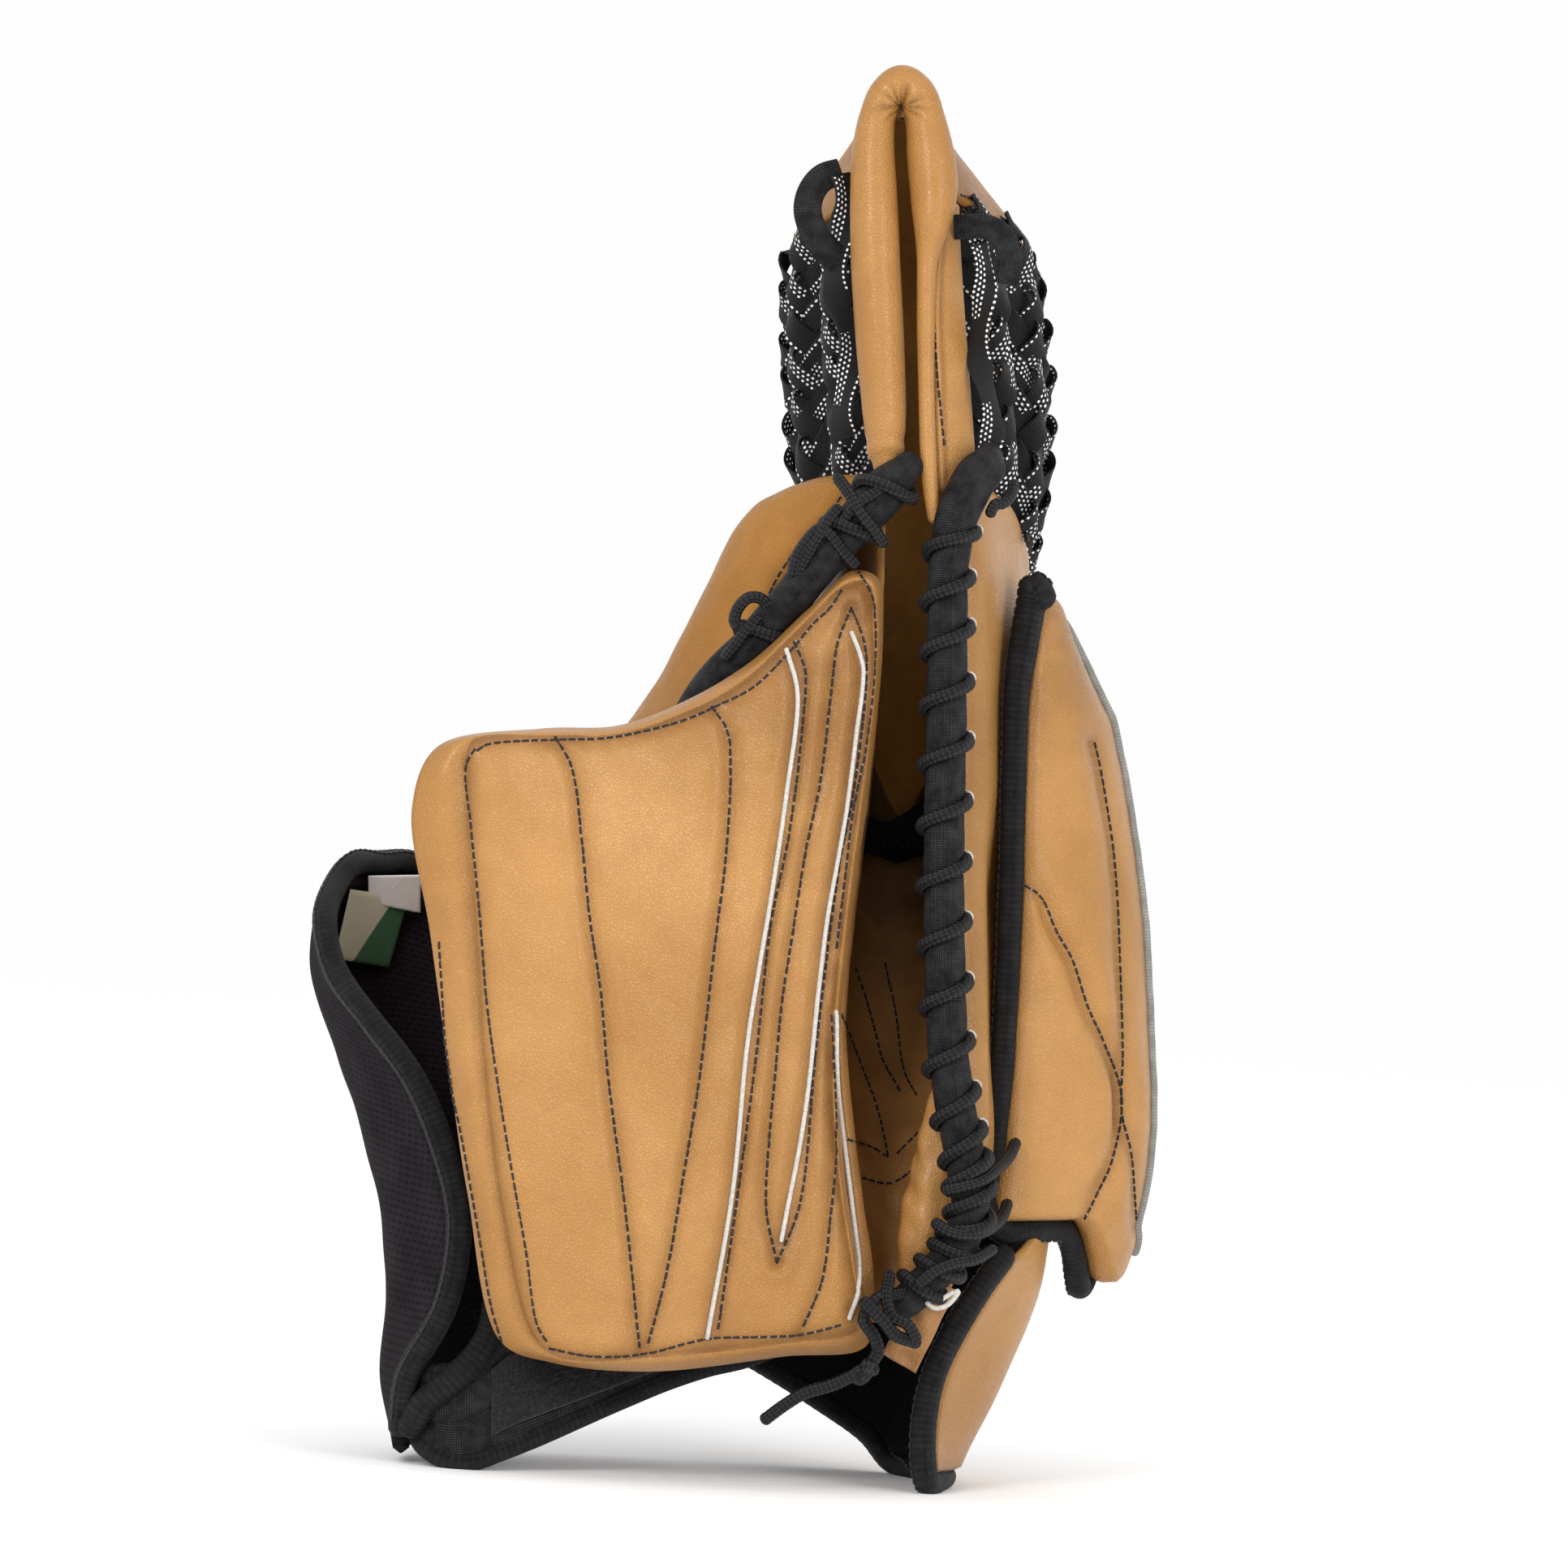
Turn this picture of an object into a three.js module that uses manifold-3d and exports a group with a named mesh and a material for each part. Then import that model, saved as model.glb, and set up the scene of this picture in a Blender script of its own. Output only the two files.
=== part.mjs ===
// A goalie's catching glove, closed, standing on its cuff with the pocket up.
// Millimetres. X runs from the thumb half to the finger half, Y into the pocket, Z up.
// The tables are measured with the glove upright; STANCE_TILT then leans it onto its two feet.
import * as THREE from "three";
import { mergeVertices } from "three/addons/utils/BufferGeometryUtils.js";
import Module from "manifold-3d";

const GAP = 0.4; // clearance that touching pieces keep
const STANCE_TILT = 3.87; // degrees, from the cuff's tip down to the wrist wrap's foot
const FLOOR = 4.6; // height of the surface above the upright glove's zero, after the tilt
const LACE = 4.2; // diameter of the round lacing cord
const ROLL = 5.8; // radius of the laced rim roll
const THUMB_ROLL = 5.7; // radius of the thumb's rim roll
const BINDING = 4.2; // radius of the woven edge binding
const LEATHER = 2.6;
const RIM_TOP = 338; // height of the finger and thumb tips
const BREAK_TOP = 226; // height of the palm's top edge at the fold
const NET_GAP = 2; // from the net's top to the cap's lower edge

// The pocket's level sections: centre line, half-gap at the rim, belly, and depth at rim and fold.
const POCKET = [
  { z: 56, centreX: 56, rim: 5, belly: 2, rimY: -50, foldY: -38 },
  { z: 80, centreX: 59, rim: 9, belly: 5, rimY: -53, foldY: -20 },
  { z: 110, centreX: 60, rim: 14, belly: 8, rimY: -54, foldY: 3 },
  { z: 150, centreX: 57.5, rim: 15, belly: 11, rimY: -54, foldY: 34 },
  { z: 200, centreX: 59, rim: 12, belly: 15, rimY: -54, foldY: 64 },
  { z: 250, centreX: 63, rim: 9, belly: 20, rimY: -54, foldY: 88 },
  { z: 300, centreX: 66, rim: 8, belly: 28, rimY: -53, foldY: 101 },
  { z: 350, centreX: 67, rim: 9, belly: 34, rimY: -51, foldY: 104 },
  { z: 400, centreX: 64.5, rim: 10, belly: 33, rimY: -50, foldY: 92 },
  { z: 425, centreX: 62, rim: 9.5, belly: 28, rimY: -49, foldY: 74 },
  { z: 440, centreX: 60.5, rim: 8, belly: 18, rimY: -47, foldY: 56 },
  { z: 450, centreX: 60, rim: 7, belly: 11, rimY: -45, foldY: 38 },
  { z: 460, centreX: 60, rim: 5, belly: 6, rimY: -42, foldY: 12 },
  { z: 466, centreX: 60, rim: 3.4, belly: 3, rimY: -39, foldY: -12 },
  { z: 469, centreX: 60, rim: 2, belly: 1, rimY: -37, foldY: -32 },
];

// The cuff board's outline: the front face's seam, and the edge of its side wall.
const BOARD = [
  { seamX: -83.5, seamZ: 250.5, edgeX: -95, edgeZ: 249 },
  { seamX: -60, seamZ: 252.5, edgeX: -60, edgeZ: 255 },
  { seamX: -35, seamZ: 253, edgeX: -35, edgeZ: 256 },
  { seamX: -14, seamZ: 259.5, edgeX: -12, edgeZ: 264.5 },
  { seamX: 6.5, seamZ: 270.5, edgeX: 9.5, edgeZ: 277.5 },
  { seamX: 25, seamZ: 288, edgeX: 28, edgeZ: 294.5 },
  { seamX: 41, seamZ: 303, edgeX: 43, edgeZ: 307.5 },
  { seamX: 48, seamZ: 303.5, edgeX: 51.5, edgeZ: 305 },
  { seamX: 50.5, seamZ: 285, edgeX: 53.2, edgeZ: 288 },
  { seamX: 49, seamZ: 258, edgeX: 51.2, edgeZ: 258 },
  { seamX: 45, seamZ: 227, edgeX: 47.2, edgeZ: 227 },
  { seamX: 40, seamZ: 187, edgeX: 42.2, edgeZ: 187 },
  { seamX: 36.5, seamZ: 146, edgeX: 38.6, edgeZ: 146 },
  { seamX: 38.5, seamZ: 106, edgeX: 40.6, edgeZ: 106 },
  { seamX: 43, seamZ: 76, edgeX: 45.5, edgeZ: 74 },
  { seamX: 45, seamZ: 56, edgeX: 48, edgeZ: 50 },
  { seamX: 19, seamZ: 50.5, edgeX: 20, edgeZ: 46 },
  { seamX: -25, seamZ: 46, edgeX: -25, edgeZ: 41 },
  { seamX: -55, seamZ: 46, edgeX: -57, edgeZ: 44 },
  { seamX: -63.7, seamZ: 54, edgeX: -74, edgeZ: 51 },
  { seamX: -73, seamZ: 92, edgeX: -85, edgeZ: 100 },
  { seamX: -78.6, seamZ: 133, edgeX: -91, edgeZ: 140 },
  { seamX: -82.6, seamZ: 187, edgeX: -97.5, edgeZ: 187 },
  { seamX: -85, seamZ: 228, edgeX: -103.5, edgeZ: 229 },
];
// The board's depth: front face at its inner edge, slope outwards, and thickness.
const BOARD_FRONT = { atX: 50, y: -66, slope: 0.29, thickness: 24, crown: 5 };

// The thumb pad's sections along the thumb's rim, from the tip down: rim, swell and back seam.
const THUMB_PAD = [
  { rimX: 57, rimZ: 336, rimY: -50, swell: 5, sideY: -34, seamX: 52, seamY: -10, seamZ: 338 },
  { rimX: 49, rimZ: 329, rimY: -51, swell: 16, sideY: -28, seamX: 32, seamY: 14, seamZ: 331 },
  { rimX: 39, rimZ: 318, rimY: -52, swell: 25, sideY: -22, seamX: 22, seamY: 32, seamZ: 320 },
  { rimX: 28, rimZ: 306, rimY: -52, swell: 28.5, sideY: -18, seamX: 14, seamY: 44, seamZ: 304 },
  { rimX: 8, rimZ: 281, rimY: -50, swell: 23, sideY: -14, seamX: 6, seamY: 56, seamZ: 274 },
  { rimX: -10, rimZ: 261, rimY: -49, swell: 16, sideY: -12, seamX: 3, seamY: 62, seamZ: 244 },
  { rimX: -30, rimZ: 236, rimY: -62, swell: 13, sideY: -12, seamX: 0, seamY: 62, seamZ: 214 },
  { rimX: -46, rimZ: 204, rimY: -68, swell: 10, sideY: -10, seamX: -6, seamY: 60, seamZ: 182 },
  { rimX: -56, rimZ: 172, rimY: -71, swell: 6, sideY: -10, seamX: -14, seamY: 58, seamZ: 150 },
];

// The back pad's level sections: edge on the fingers, ridge at the piping, and edge at the back.
const BACK_PAD = [
  { z: 62, nearX: 88, nearY: -24, ridgeX: 121, ridgeY: 24, backX: 98, backY: 66 },
  { z: 90, nearX: 89, nearY: -24, ridgeX: 128.5, ridgeY: 24, backX: 104, backY: 76 },
  { z: 119, nearX: 93.5, nearY: -23, ridgeX: 130.5, ridgeY: 24, backX: 109, backY: 88 },
  { z: 149, nearX: 96.5, nearY: -22, ridgeX: 130.5, ridgeY: 24, backX: 112, backY: 98 },
  { z: 179, nearX: 98, nearY: -21, ridgeX: 128.5, ridgeY: 24, backX: 112, backY: 106 },
  { z: 206, nearX: 99, nearY: -20, ridgeX: 126, ridgeY: 24, backX: 110, backY: 110 },
  { z: 233, nearX: 99.5, nearY: -20, ridgeX: 122.5, ridgeY: 24, backX: 106, backY: 112 },
  { z: 268, nearX: 100.5, nearY: -19, ridgeX: 115.5, ridgeY: 22, backX: 100, backY: 108 },
  { z: 302, nearX: 105.5, nearY: -16, ridgeX: 106.5, ridgeY: 16, backX: 100, backY: 92 },
];
const BACK_PAD_EDGE = 4; // thickness at its edges
const BACK_PAD_CROWN = 9; // more in the middle

// The gauntlet's level sections: near edge, side, back and end behind the cuff board.
const GAUNTLET = [
  { z: 0, nearX: 68.5, nearY: -38, sideX: 73, sideY: 2, backX: 52, backY: 40, endX: 6, endY: 52 },
  { z: 14, nearX: 67.8, nearY: -38, sideX: 80, sideY: 2, backX: 58, backY: 44, endX: 6, endY: 53 },
  { z: 27, nearX: 69, nearY: -38, sideX: 87, sideY: 2, backX: 62, backY: 47, endX: 6, endY: 54 },
  { z: 41, nearX: 72.6, nearY: -38, sideX: 93.5, sideY: 2, backX: 66, backY: 50, endX: 6, endY: 55 },
  { z: 55, nearX: 79.4, nearY: -37, sideX: 99.5, sideY: 3, backX: 69, backY: 53, endX: 6, endY: 56 },
  { z: 68, nearX: 87.5, nearY: -34, sideX: 104, sideY: 4, backX: 72, backY: 55, endX: 6, endY: 57 },
  { z: 80, nearX: 96, nearY: -26, sideX: 106, sideY: 6, backX: 75, backY: 57, endX: 6, endY: 58 },
  { z: 92, nearX: 101, nearY: -14, sideX: 107, sideY: 9, backX: 78, backY: 59, endX: 6, endY: 58 },
];

// The wrist wrap's level sections: its near edge, its left side, its back and its hidden end.
const WRAP = [
  { z: 16, nearX: -107, nearY: -58, sideX: -106, sideY: -30, backX: -86, backY: 10, endX: -24, endY: 34 },
  { z: 38, nearX: -106, nearY: -62, sideX: -111, sideY: -30, backX: -92, backY: 20, endX: -22, endY: 44 },
  { z: 65, nearX: -93, nearY: -68, sideX: -110.5, sideY: -30, backX: -93, backY: 26, endX: -20, endY: 50 },
  { z: 92, nearX: -89, nearY: -70, sideX: -112, sideY: -30, backX: -95, backY: 30, endX: -18, endY: 54 },
  { z: 127, nearX: -98, nearY: -67, sideX: -120, sideY: -28, backX: -101, backY: 34, endX: -18, endY: 57 },
  { z: 146, nearX: -108.5, nearY: -62, sideX: -126.5, sideY: -26, backX: -107, backY: 36, endX: -20, endY: 59 },
  { z: 164, nearX: -123, nearY: -52, sideX: -134, sideY: -22, backX: -113, backY: 38, endX: -24, endY: 60 },
  { z: 179, nearX: -132, nearY: -40, sideX: -136, sideY: -14, backX: -115, backY: 40, endX: -30, endY: 60 },
  { z: 196, nearX: -133, nearY: -28, sideX: -133, sideY: -6, backX: -110, backY: 40, endX: -38, endY: 60 },
  { z: 210, nearX: -127, nearY: -16, sideX: -125, sideY: 0, backX: -102, backY: 40, endX: -48, endY: 58 },
];
const WRAP_WALL = 6;

// The panel over the back of the hand, by level: left edge, middle and right edge.
const HAND_BACK = [
  { z: 78, leftX: -26, leftY: 54, midX: 42, midY: 68, rightX: 92, rightY: 67 },
  { z: 104, leftX: -26, leftY: 57.5, midX: 44, midY: 86, rightX: 105, rightY: 79 },
  { z: 140, leftX: -27, leftY: 60.5, midX: 44, midY: 102, rightX: 109, rightY: 92 },
  { z: 180, leftX: -28, leftY: 62, midX: 48, midY: 116, rightX: 109, rightY: 103 },
  { z: 210, leftX: -6, leftY: 63, midX: 52, midY: 122, rightX: 106, rightY: 108 },
  { z: 240, leftX: 3, leftY: 63, midX: 54, midY: 122, rightX: 102, rightY: 109 },
];

// The wrist strap along its length: plan, lower edge and upper edge.
const STRAP = [
  { x: -103, y: -40, low: 26, high: 44 },
  { x: -100, y: -60, low: 15, high: 38 },
  { x: -86, y: -66, low: 9.2, high: 38 },
  { x: -68, y: -61, low: 14.6, high: 50 },
  { x: -41, y: -51, low: 25.6, high: 56 },
  { x: -14, y: -43, low: 36.4, high: 62 },
  { x: 14, y: -39, low: 44, high: 66 },
  { x: 47, y: -37, low: 60, high: 74 },
];

// The knotted end of the rim's lace, and its free tail.
const HEEL_LACE = [
  { x: 60, y: -62.5, z: 68 },
  { x: 51, y: -71, z: 66.5 },
  { x: 46.6, y: -73.5, z: 60 },
  { x: 50, y: -73, z: 54 },
  { x: 51.2, y: -72.5, z: 49 },
  { x: 47.4, y: -73.5, z: 43.4 },
];
const HEEL_LOOP = [
  { x: 47, y: -77.3, z: 65.5 },
  { x: 52.5, y: -76.8, z: 60 },
  { x: 57, y: -74, z: 54.6 },
  { x: 63.6, y: -70, z: 52 },
];
const HEEL_TAIL = [
  { x: 43.5, y: -74, z: 41.5 },
  { x: 36, y: -75, z: 38.2 },
  { x: 27, y: -76, z: 35.6 },
  { x: 20.5, y: -77, z: 31.8 },
  { x: 14.4, y: -78, z: 27.4 },
];

// Tubes that edge or carry the leather: points along each, with the radius there.
const PERIMETER_ROLL = [
  { x: 89.4, y: -47, z: 346, r: 3.5 },
  { x: 88.2, y: -51, z: 342, r: 6 },
  { x: 84.8, y: -55, z: 337, r: 6.4 },
  { x: 79.4, y: -60, z: 326, r: 6.2 },
  { x: 75.9, y: -62, z: 311, r: ROLL },
  { x: 74.8, y: -62.5, z: 281, r: ROLL },
  { x: 74.2, y: -62.5, z: 254, r: ROLL },
  { x: 73.4, y: -62.5, z: 227, r: ROLL },
  { x: 73.2, y: -62.5, z: 200, r: ROLL },
  { x: 73.7, y: -62.5, z: 173, r: ROLL },
  { x: 74.8, y: -62.5, z: 146, r: ROLL },
  { x: 77.5, y: -62.5, z: 127, r: ROLL },
  { x: 81, y: -62.5, z: 108, r: ROLL },
  { x: 81.8, y: -62, z: 96, r: 5.6 },
  { x: 79, y: -61, z: 86, r: 5.4 },
  { x: 72, y: -60, z: 76, r: 5.2 },
  { x: 64, y: -59, z: 68, r: 5 },
  { x: 58, y: -58, z: 62, r: 4 },
];
const THUMB_RIM = [
  { x: 61.5, y: -58, z: 342, r: 4 },
  { x: 56, y: -60, z: 336, r: 6.4 },
  { x: 49.5, y: -61, z: 329, r: 6.6 },
  { x: 39.5, y: -61.5, z: 318, r: 5.8 },
  { x: 28.8, y: -61, z: 305.5, r: THUMB_ROLL },
  { x: 18.4, y: -59.5, z: 292.8, r: THUMB_ROLL },
  { x: 7.6, y: -58, z: 280.6, r: THUMB_ROLL },
  { x: -3, y: -56, z: 270, r: THUMB_ROLL },
  { x: -12, y: -53, z: 258, r: 4.6 },
];
const T_BAR = [
  { x: 55.2, y: -51, z: 339, r: 3.6 },
  { x: 54.2, y: -51.5, z: 346, r: 5.8 },
  { x: 53.6, y: -52.5, z: 360, r: 7.4 },
  { x: 52, y: -52.5, z: 385, r: 8 },
  { x: 50.8, y: -51.5, z: 410, r: 8.2 },
  { x: 50, y: -50, z: 435, r: 8.2 },
  { x: 51.4, y: -48.5, z: 451, r: 8.4 },
  { x: 54, y: -47, z: 462, r: 8.8 },
  { x: 60, y: -46, z: 467.2, r: 9.2 },
  { x: 66, y: -47, z: 462, r: 8.8 },
  { x: 68.6, y: -48.5, z: 451, r: 8.5 },
  { x: 70.2, y: -50, z: 435, r: 8.2 },
  { x: 69.4, y: -52, z: 424, r: 6.6 },
  { x: 67.8, y: -54, z: 408, r: 3.7 },
  { x: 67.8, y: -55, z: 385, r: 3.3 },
  { x: 68.4, y: -56, z: 355, r: 3.3 },
  { x: 69.6, y: -57, z: 336, r: 2.9 },
  { x: 70.8, y: -57.5, z: 325, r: 2.2 },
];
// The leather flap that the bar's right leg is rolled from, by level: inner and outer edge.
const T_FLAP = [
  { z: 334, inX: 73, inY: -51, outX: 84, outY: -42 },
  { z: 350, inX: 72, inY: -51, outX: 83.5, outY: -41 },
  { z: 372, inX: 71.4, inY: -51, outX: 81.8, outY: -41 },
  { z: 400, inX: 70.6, inY: -51, outX: 79.6, outY: -41 },
  { z: 420, inX: 72, inY: -47, outX: 78.4, outY: -40.5 },
  { z: 430, inX: 75, inY: -44, outX: 78, outY: -40.5 },
];

// Heights of the turns of lace on the perimeter roll.
const LACE_TURNS = [317, 301, 284.5, 266.5, 247, 227, 207, 187, 167, 147, 130, 117, 108, 99, 90];

const wasm = await Module();
wasm.setup();

// A column of a table as a smooth function of its z (or row number) column.
function column(rows, name, key = "z") {
  const xs = rows.map((row, i) => (key === "row" ? i : row[key]));
  const ys = rows.map((row) => row[name]);
  const slopes = ys.map((_, i) => {
    const a = Math.max(i - 1, 0);
    const b = Math.min(i + 1, ys.length - 1);
    return (ys[b] - ys[a]) / (xs[b] - xs[a]);
  });
  return (x) => {
    let i = 0;
    while (i < xs.length - 2 && x > xs[i + 1]) i += 1;
    const h = xs[i + 1] - xs[i];
    const t = THREE.MathUtils.clamp((x - xs[i]) / h, 0, 1);
    const t2 = t * t;
    const t3 = t2 * t;
    return (
      (2 * t3 - 3 * t2 + 1) * ys[i] +
      (t3 - 2 * t2 + t) * h * slopes[i] +
      (3 * t2 - 2 * t3) * ys[i + 1] +
      (t3 - t2) * h * slopes[i + 1]
    );
  };
}

// All the columns of a table as functions.
function columns(rows, key = "z") {
  const names = Object.keys(rows[0]).filter((name) => name !== key);
  return Object.fromEntries(names.map((name) => [name, column(rows, name, key)]));
}

// A level curve through plan points: a surface whose u runs along it.
function throughPoints(points) {
  const curve = new THREE.CatmullRomCurve3(points, false, "centripetal");
  return (u) => curve.getPoint(THREE.MathUtils.clamp(u, 0, 1));
}

// A closed wall over a surface(u, v): offset by outer along its normal and by inner against it.
// grow thickens it on every side; present(i, j) says which grid cells are cut out of it.
function wall(surface, { nu, nv, outer, inner, grow = 0, us, vs, present = () => true }) {
  const step = 1e-3;
  const front = [];
  const back = [];
  const at = (list, i, n) => (list ? list[i] : i / n);
  for (let i = 0; i <= nu; i += 1) {
    for (let j = 0; j <= nv; j += 1) {
      const u = at(us, i, nu);
      const v = at(vs, j, nv);
      const u0 = Math.max(u - step, 0);
      const u1 = Math.min(u + step, 1);
      const v0 = Math.max(v - step, 0);
      const v1 = Math.min(v + step, 1);
      const du = surface(u1, v).sub(surface(u0, v)).normalize();
      const dv = surface(u, v1).sub(surface(u, v0)).normalize();
      const normal = new THREE.Vector3().crossVectors(du, dv).normalize();
      const point = surface(u, v);
      if (i === 0) point.addScaledVector(du, -grow);
      if (i === nu) point.addScaledVector(du, grow);
      if (j === 0) point.addScaledVector(dv, -grow);
      if (j === nv) point.addScaledVector(dv, grow);
      front.push(point.clone().addScaledVector(normal, outer(u, v) + grow));
      back.push(point.clone().addScaledVector(normal, -inner(u, v) - grow));
    }
  }
  const id = (i, j) => i * (nv + 1) + j;
  const there = (i, j) => i >= 0 && j >= 0 && i < nu && j < nv && present(i, j);
  const triangles = [];
  const quad = (a, b, c, d) => triangles.push(a, b, c, a, c, d);
  for (let i = 0; i < nu; i += 1) {
    for (let j = 0; j < nv; j += 1) {
      if (!there(i, j)) continue;
      const corners = [id(i, j), id(i + 1, j), id(i + 1, j + 1), id(i, j + 1)];
      const beside = [there(i, j - 1), there(i + 1, j), there(i, j + 1), there(i - 1, j)];
      quad(...corners.map((k) => front[k]));
      quad(...corners.map((k) => back[k]).reverse());
      beside.forEach((filled, side) => {
        if (filled) return;
        const a = corners[side];
        const b = corners[(side + 1) % 4];
        quad(front[b], front[a], back[a], back[b]);
      });
    }
  }
  return new THREE.BufferGeometry().setFromPoints(triangles);
}

// Rings of equal count joined into a closed body, with a cap on each end.
function loft(rings) {
  const triangles = [];
  const n = rings[0].length;
  for (let i = 0; i < rings.length - 1; i += 1) {
    for (let k = 0; k < n; k += 1) {
      const m = (k + 1) % n;
      triangles.push(rings[i][k], rings[i + 1][k], rings[i + 1][m]);
      triangles.push(rings[i][k], rings[i + 1][m], rings[i][m]);
    }
  }
  [rings[0], rings.at(-1)].forEach((ring, end) => {
    const middle = ring.reduce((sum, p) => sum.add(p), new THREE.Vector3()).divideScalar(n);
    ring.forEach((p, k) => {
      const next = ring[(k + 1) % n];
      triangles.push(...(end ? [middle, next, p] : [middle, p, next]));
    });
  });
  return new THREE.BufferGeometry().setFromPoints(triangles);
}

// A round tube through a table of points, each with its own radius, with blunt round ends.
function tube(rows, { sides = 8, steps = 40, grow = 0, flat = 1 }) {
  const points = rows.map((row) => new THREE.Vector3(row.x, row.y, row.z));
  const curve = new THREE.CatmullRomCurve3(points, false, "centripetal");
  const radius = column(rows, "r", "row");
  const frames = curve.computeFrenetFrames(steps, false);
  const rings = [];
  const ring = (i, scale, shift) => {
    const t = curve.getUtoTmapping(i / steps);
    const r = (radius(t * (rows.length - 1)) + grow) * scale;
    const centre = curve.getPoint(t).addScaledVector(frames.tangents[i], shift);
    return Array.from({ length: sides }, (_, k) => {
      const angle = (-2 * Math.PI * k) / sides;
      return centre
        .clone()
        .addScaledVector(frames.normals[i], Math.cos(angle) * r)
        .addScaledVector(frames.binormals[i], Math.sin(angle) * r * flat);
    });
  };
  rings.push(ring(0, 0.6, -0.35 * (rows[0].r + grow)));
  for (let i = 0; i <= steps; i += 1) rings.push(ring(i, 1, 0));
  rings.push(ring(steps, 0.6, 0.35 * (rows.at(-1).r + grow)));
  return loft(rings);
}

// A cord of one diameter along a smooth curve through points.
function cord(points, diameter, steps, sides = 6) {
  const section = new THREE.Shape(
    Array.from({ length: sides }, (_, k) => {
      const angle = (2 * Math.PI * k) / sides;
      return new THREE.Vector2(Math.cos(angle), Math.sin(angle)).multiplyScalar(diameter / 2);
    }),
  );
  const extrudePath = new THREE.CatmullRomCurve3(points, false, "centripetal");
  return new THREE.ExtrudeGeometry(section, { steps, bevelEnabled: false, extrudePath });
}

// Geometry to solid and back, for the cuts.
function solid(geometry) {
  const bare = geometry.index ? geometry.toNonIndexed() : geometry.clone();
  bare.deleteAttribute("normal");
  bare.deleteAttribute("uv");
  const merged = mergeVertices(bare, 1e-3);
  return new wasm.Manifold(
    new wasm.Mesh({
      numProp: 3,
      vertProperties: merged.attributes.position.array,
      triVerts: new Uint32Array(merged.index.array),
    }),
  );
}

function geometryOf(manifold) {
  const mesh = manifold.getMesh();
  return new THREE.BufferGeometry()
    .setAttribute("position", new THREE.BufferAttribute(mesh.vertProperties, 3))
    .setIndex(new THREE.BufferAttribute(mesh.triVerts, 1));
}

// A solid less its neighbours, each given a little larger than it is.
function cutBy(geometry, ...neighbours) {
  const left = neighbours.reduce((rest, other) => rest.subtract(solid(other)), solid(geometry));
  const bodies = left.decompose().sort((a, b) => b.volume() - a.volume());
  return geometryOf(bodies[0].simplify(0.03));
}

// A cord that ends in a round knot.
function withKnot(geometry, place) {
  const knot = new THREE.IcosahedronGeometry(LACE * 0.98, 2).translate(place.x, place.y, place.z);
  return geometryOf(solid(geometry).add(solid(knot)));
}

// Everything under the surface that the leaning glove stands on.
function underFloor() {
  const size = 600;
  const slab = new THREE.BoxGeometry(size, size, size);
  slab.translate(0, 0, FLOOR - size / 2);
  slab.rotateY(THREE.MathUtils.degToRad(STANCE_TILT));
  return slab;
}

const material = (color, roughness) => new THREE.MeshStandardMaterial({ color, roughness, metalness: 0 });
const LEATHER_TAN = material(0xb9813a, 0.5);
const NYLON_BLACK = material(0x18171a, 0.8);
const MESH_BLACK = material(0x1d191d, 0.95);
const LACE_BLACK = material(0x141516, 0.7);
const LABEL_CREAM = material(0xb9b8a2, 0.9);
const TAG_WHITE = material(0xe8e8ea, 0.7);

const glove = new THREE.Group();
function add(name, geometry, finish) {
  const mesh = new THREE.Mesh(geometry, finish);
  mesh.name = name;
  glove.add(mesh);
  return mesh;
}

const pocket = columns(POCKET);
// A point of the pocket's skin: angle 0 is the finger rim, 90 the fold, 180 the thumb rim.
function pocketPoint(angle, z) {
  const a = THREE.MathUtils.degToRad(angle);
  const depth = pocket.foldY(z) - pocket.rimY(z);
  return new THREE.Vector3(
    pocket.centreX(z) + pocket.rim(z) * Math.cos(a) + pocket.belly(z) * Math.sin(2 * a),
    pocket.rimY(z) + depth * Math.sin(a),
    z,
  );
}
// The palm's top edge, high at the tips and low at the fold.
function palmTop(angle) {
  const across = Math.abs(Math.cos(THREE.MathUtils.degToRad(angle)));
  return BREAK_TOP + (RIM_TOP - BREAK_TOP) * across ** 1.2;
}

// The palm: one padded leather wall folded round the pocket, thickest over the fingers.
function palmShell(grow = 0) {
  const low = 58;
  const surface = (u, v) => {
    const angle = 3 + 174 * u;
    return pocketPoint(angle, low + (palmTop(angle) - low) * v);
  };
  const outer = (u, v) => {
    const fingers = 9 * Math.sin(Math.PI * Math.min(u / 0.42, 1)) * Math.sin(Math.PI * Math.min(v * 1.1 + 0.05, 1));
    const rimDepth = u < 0.1 ? 7 : 6;
    return rimDepth + Math.max(fingers, 0) - 3 * v;
  };
  return wall(surface, { nu: 22, nv: 12, outer, inner: () => 0, grow });
}

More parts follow.
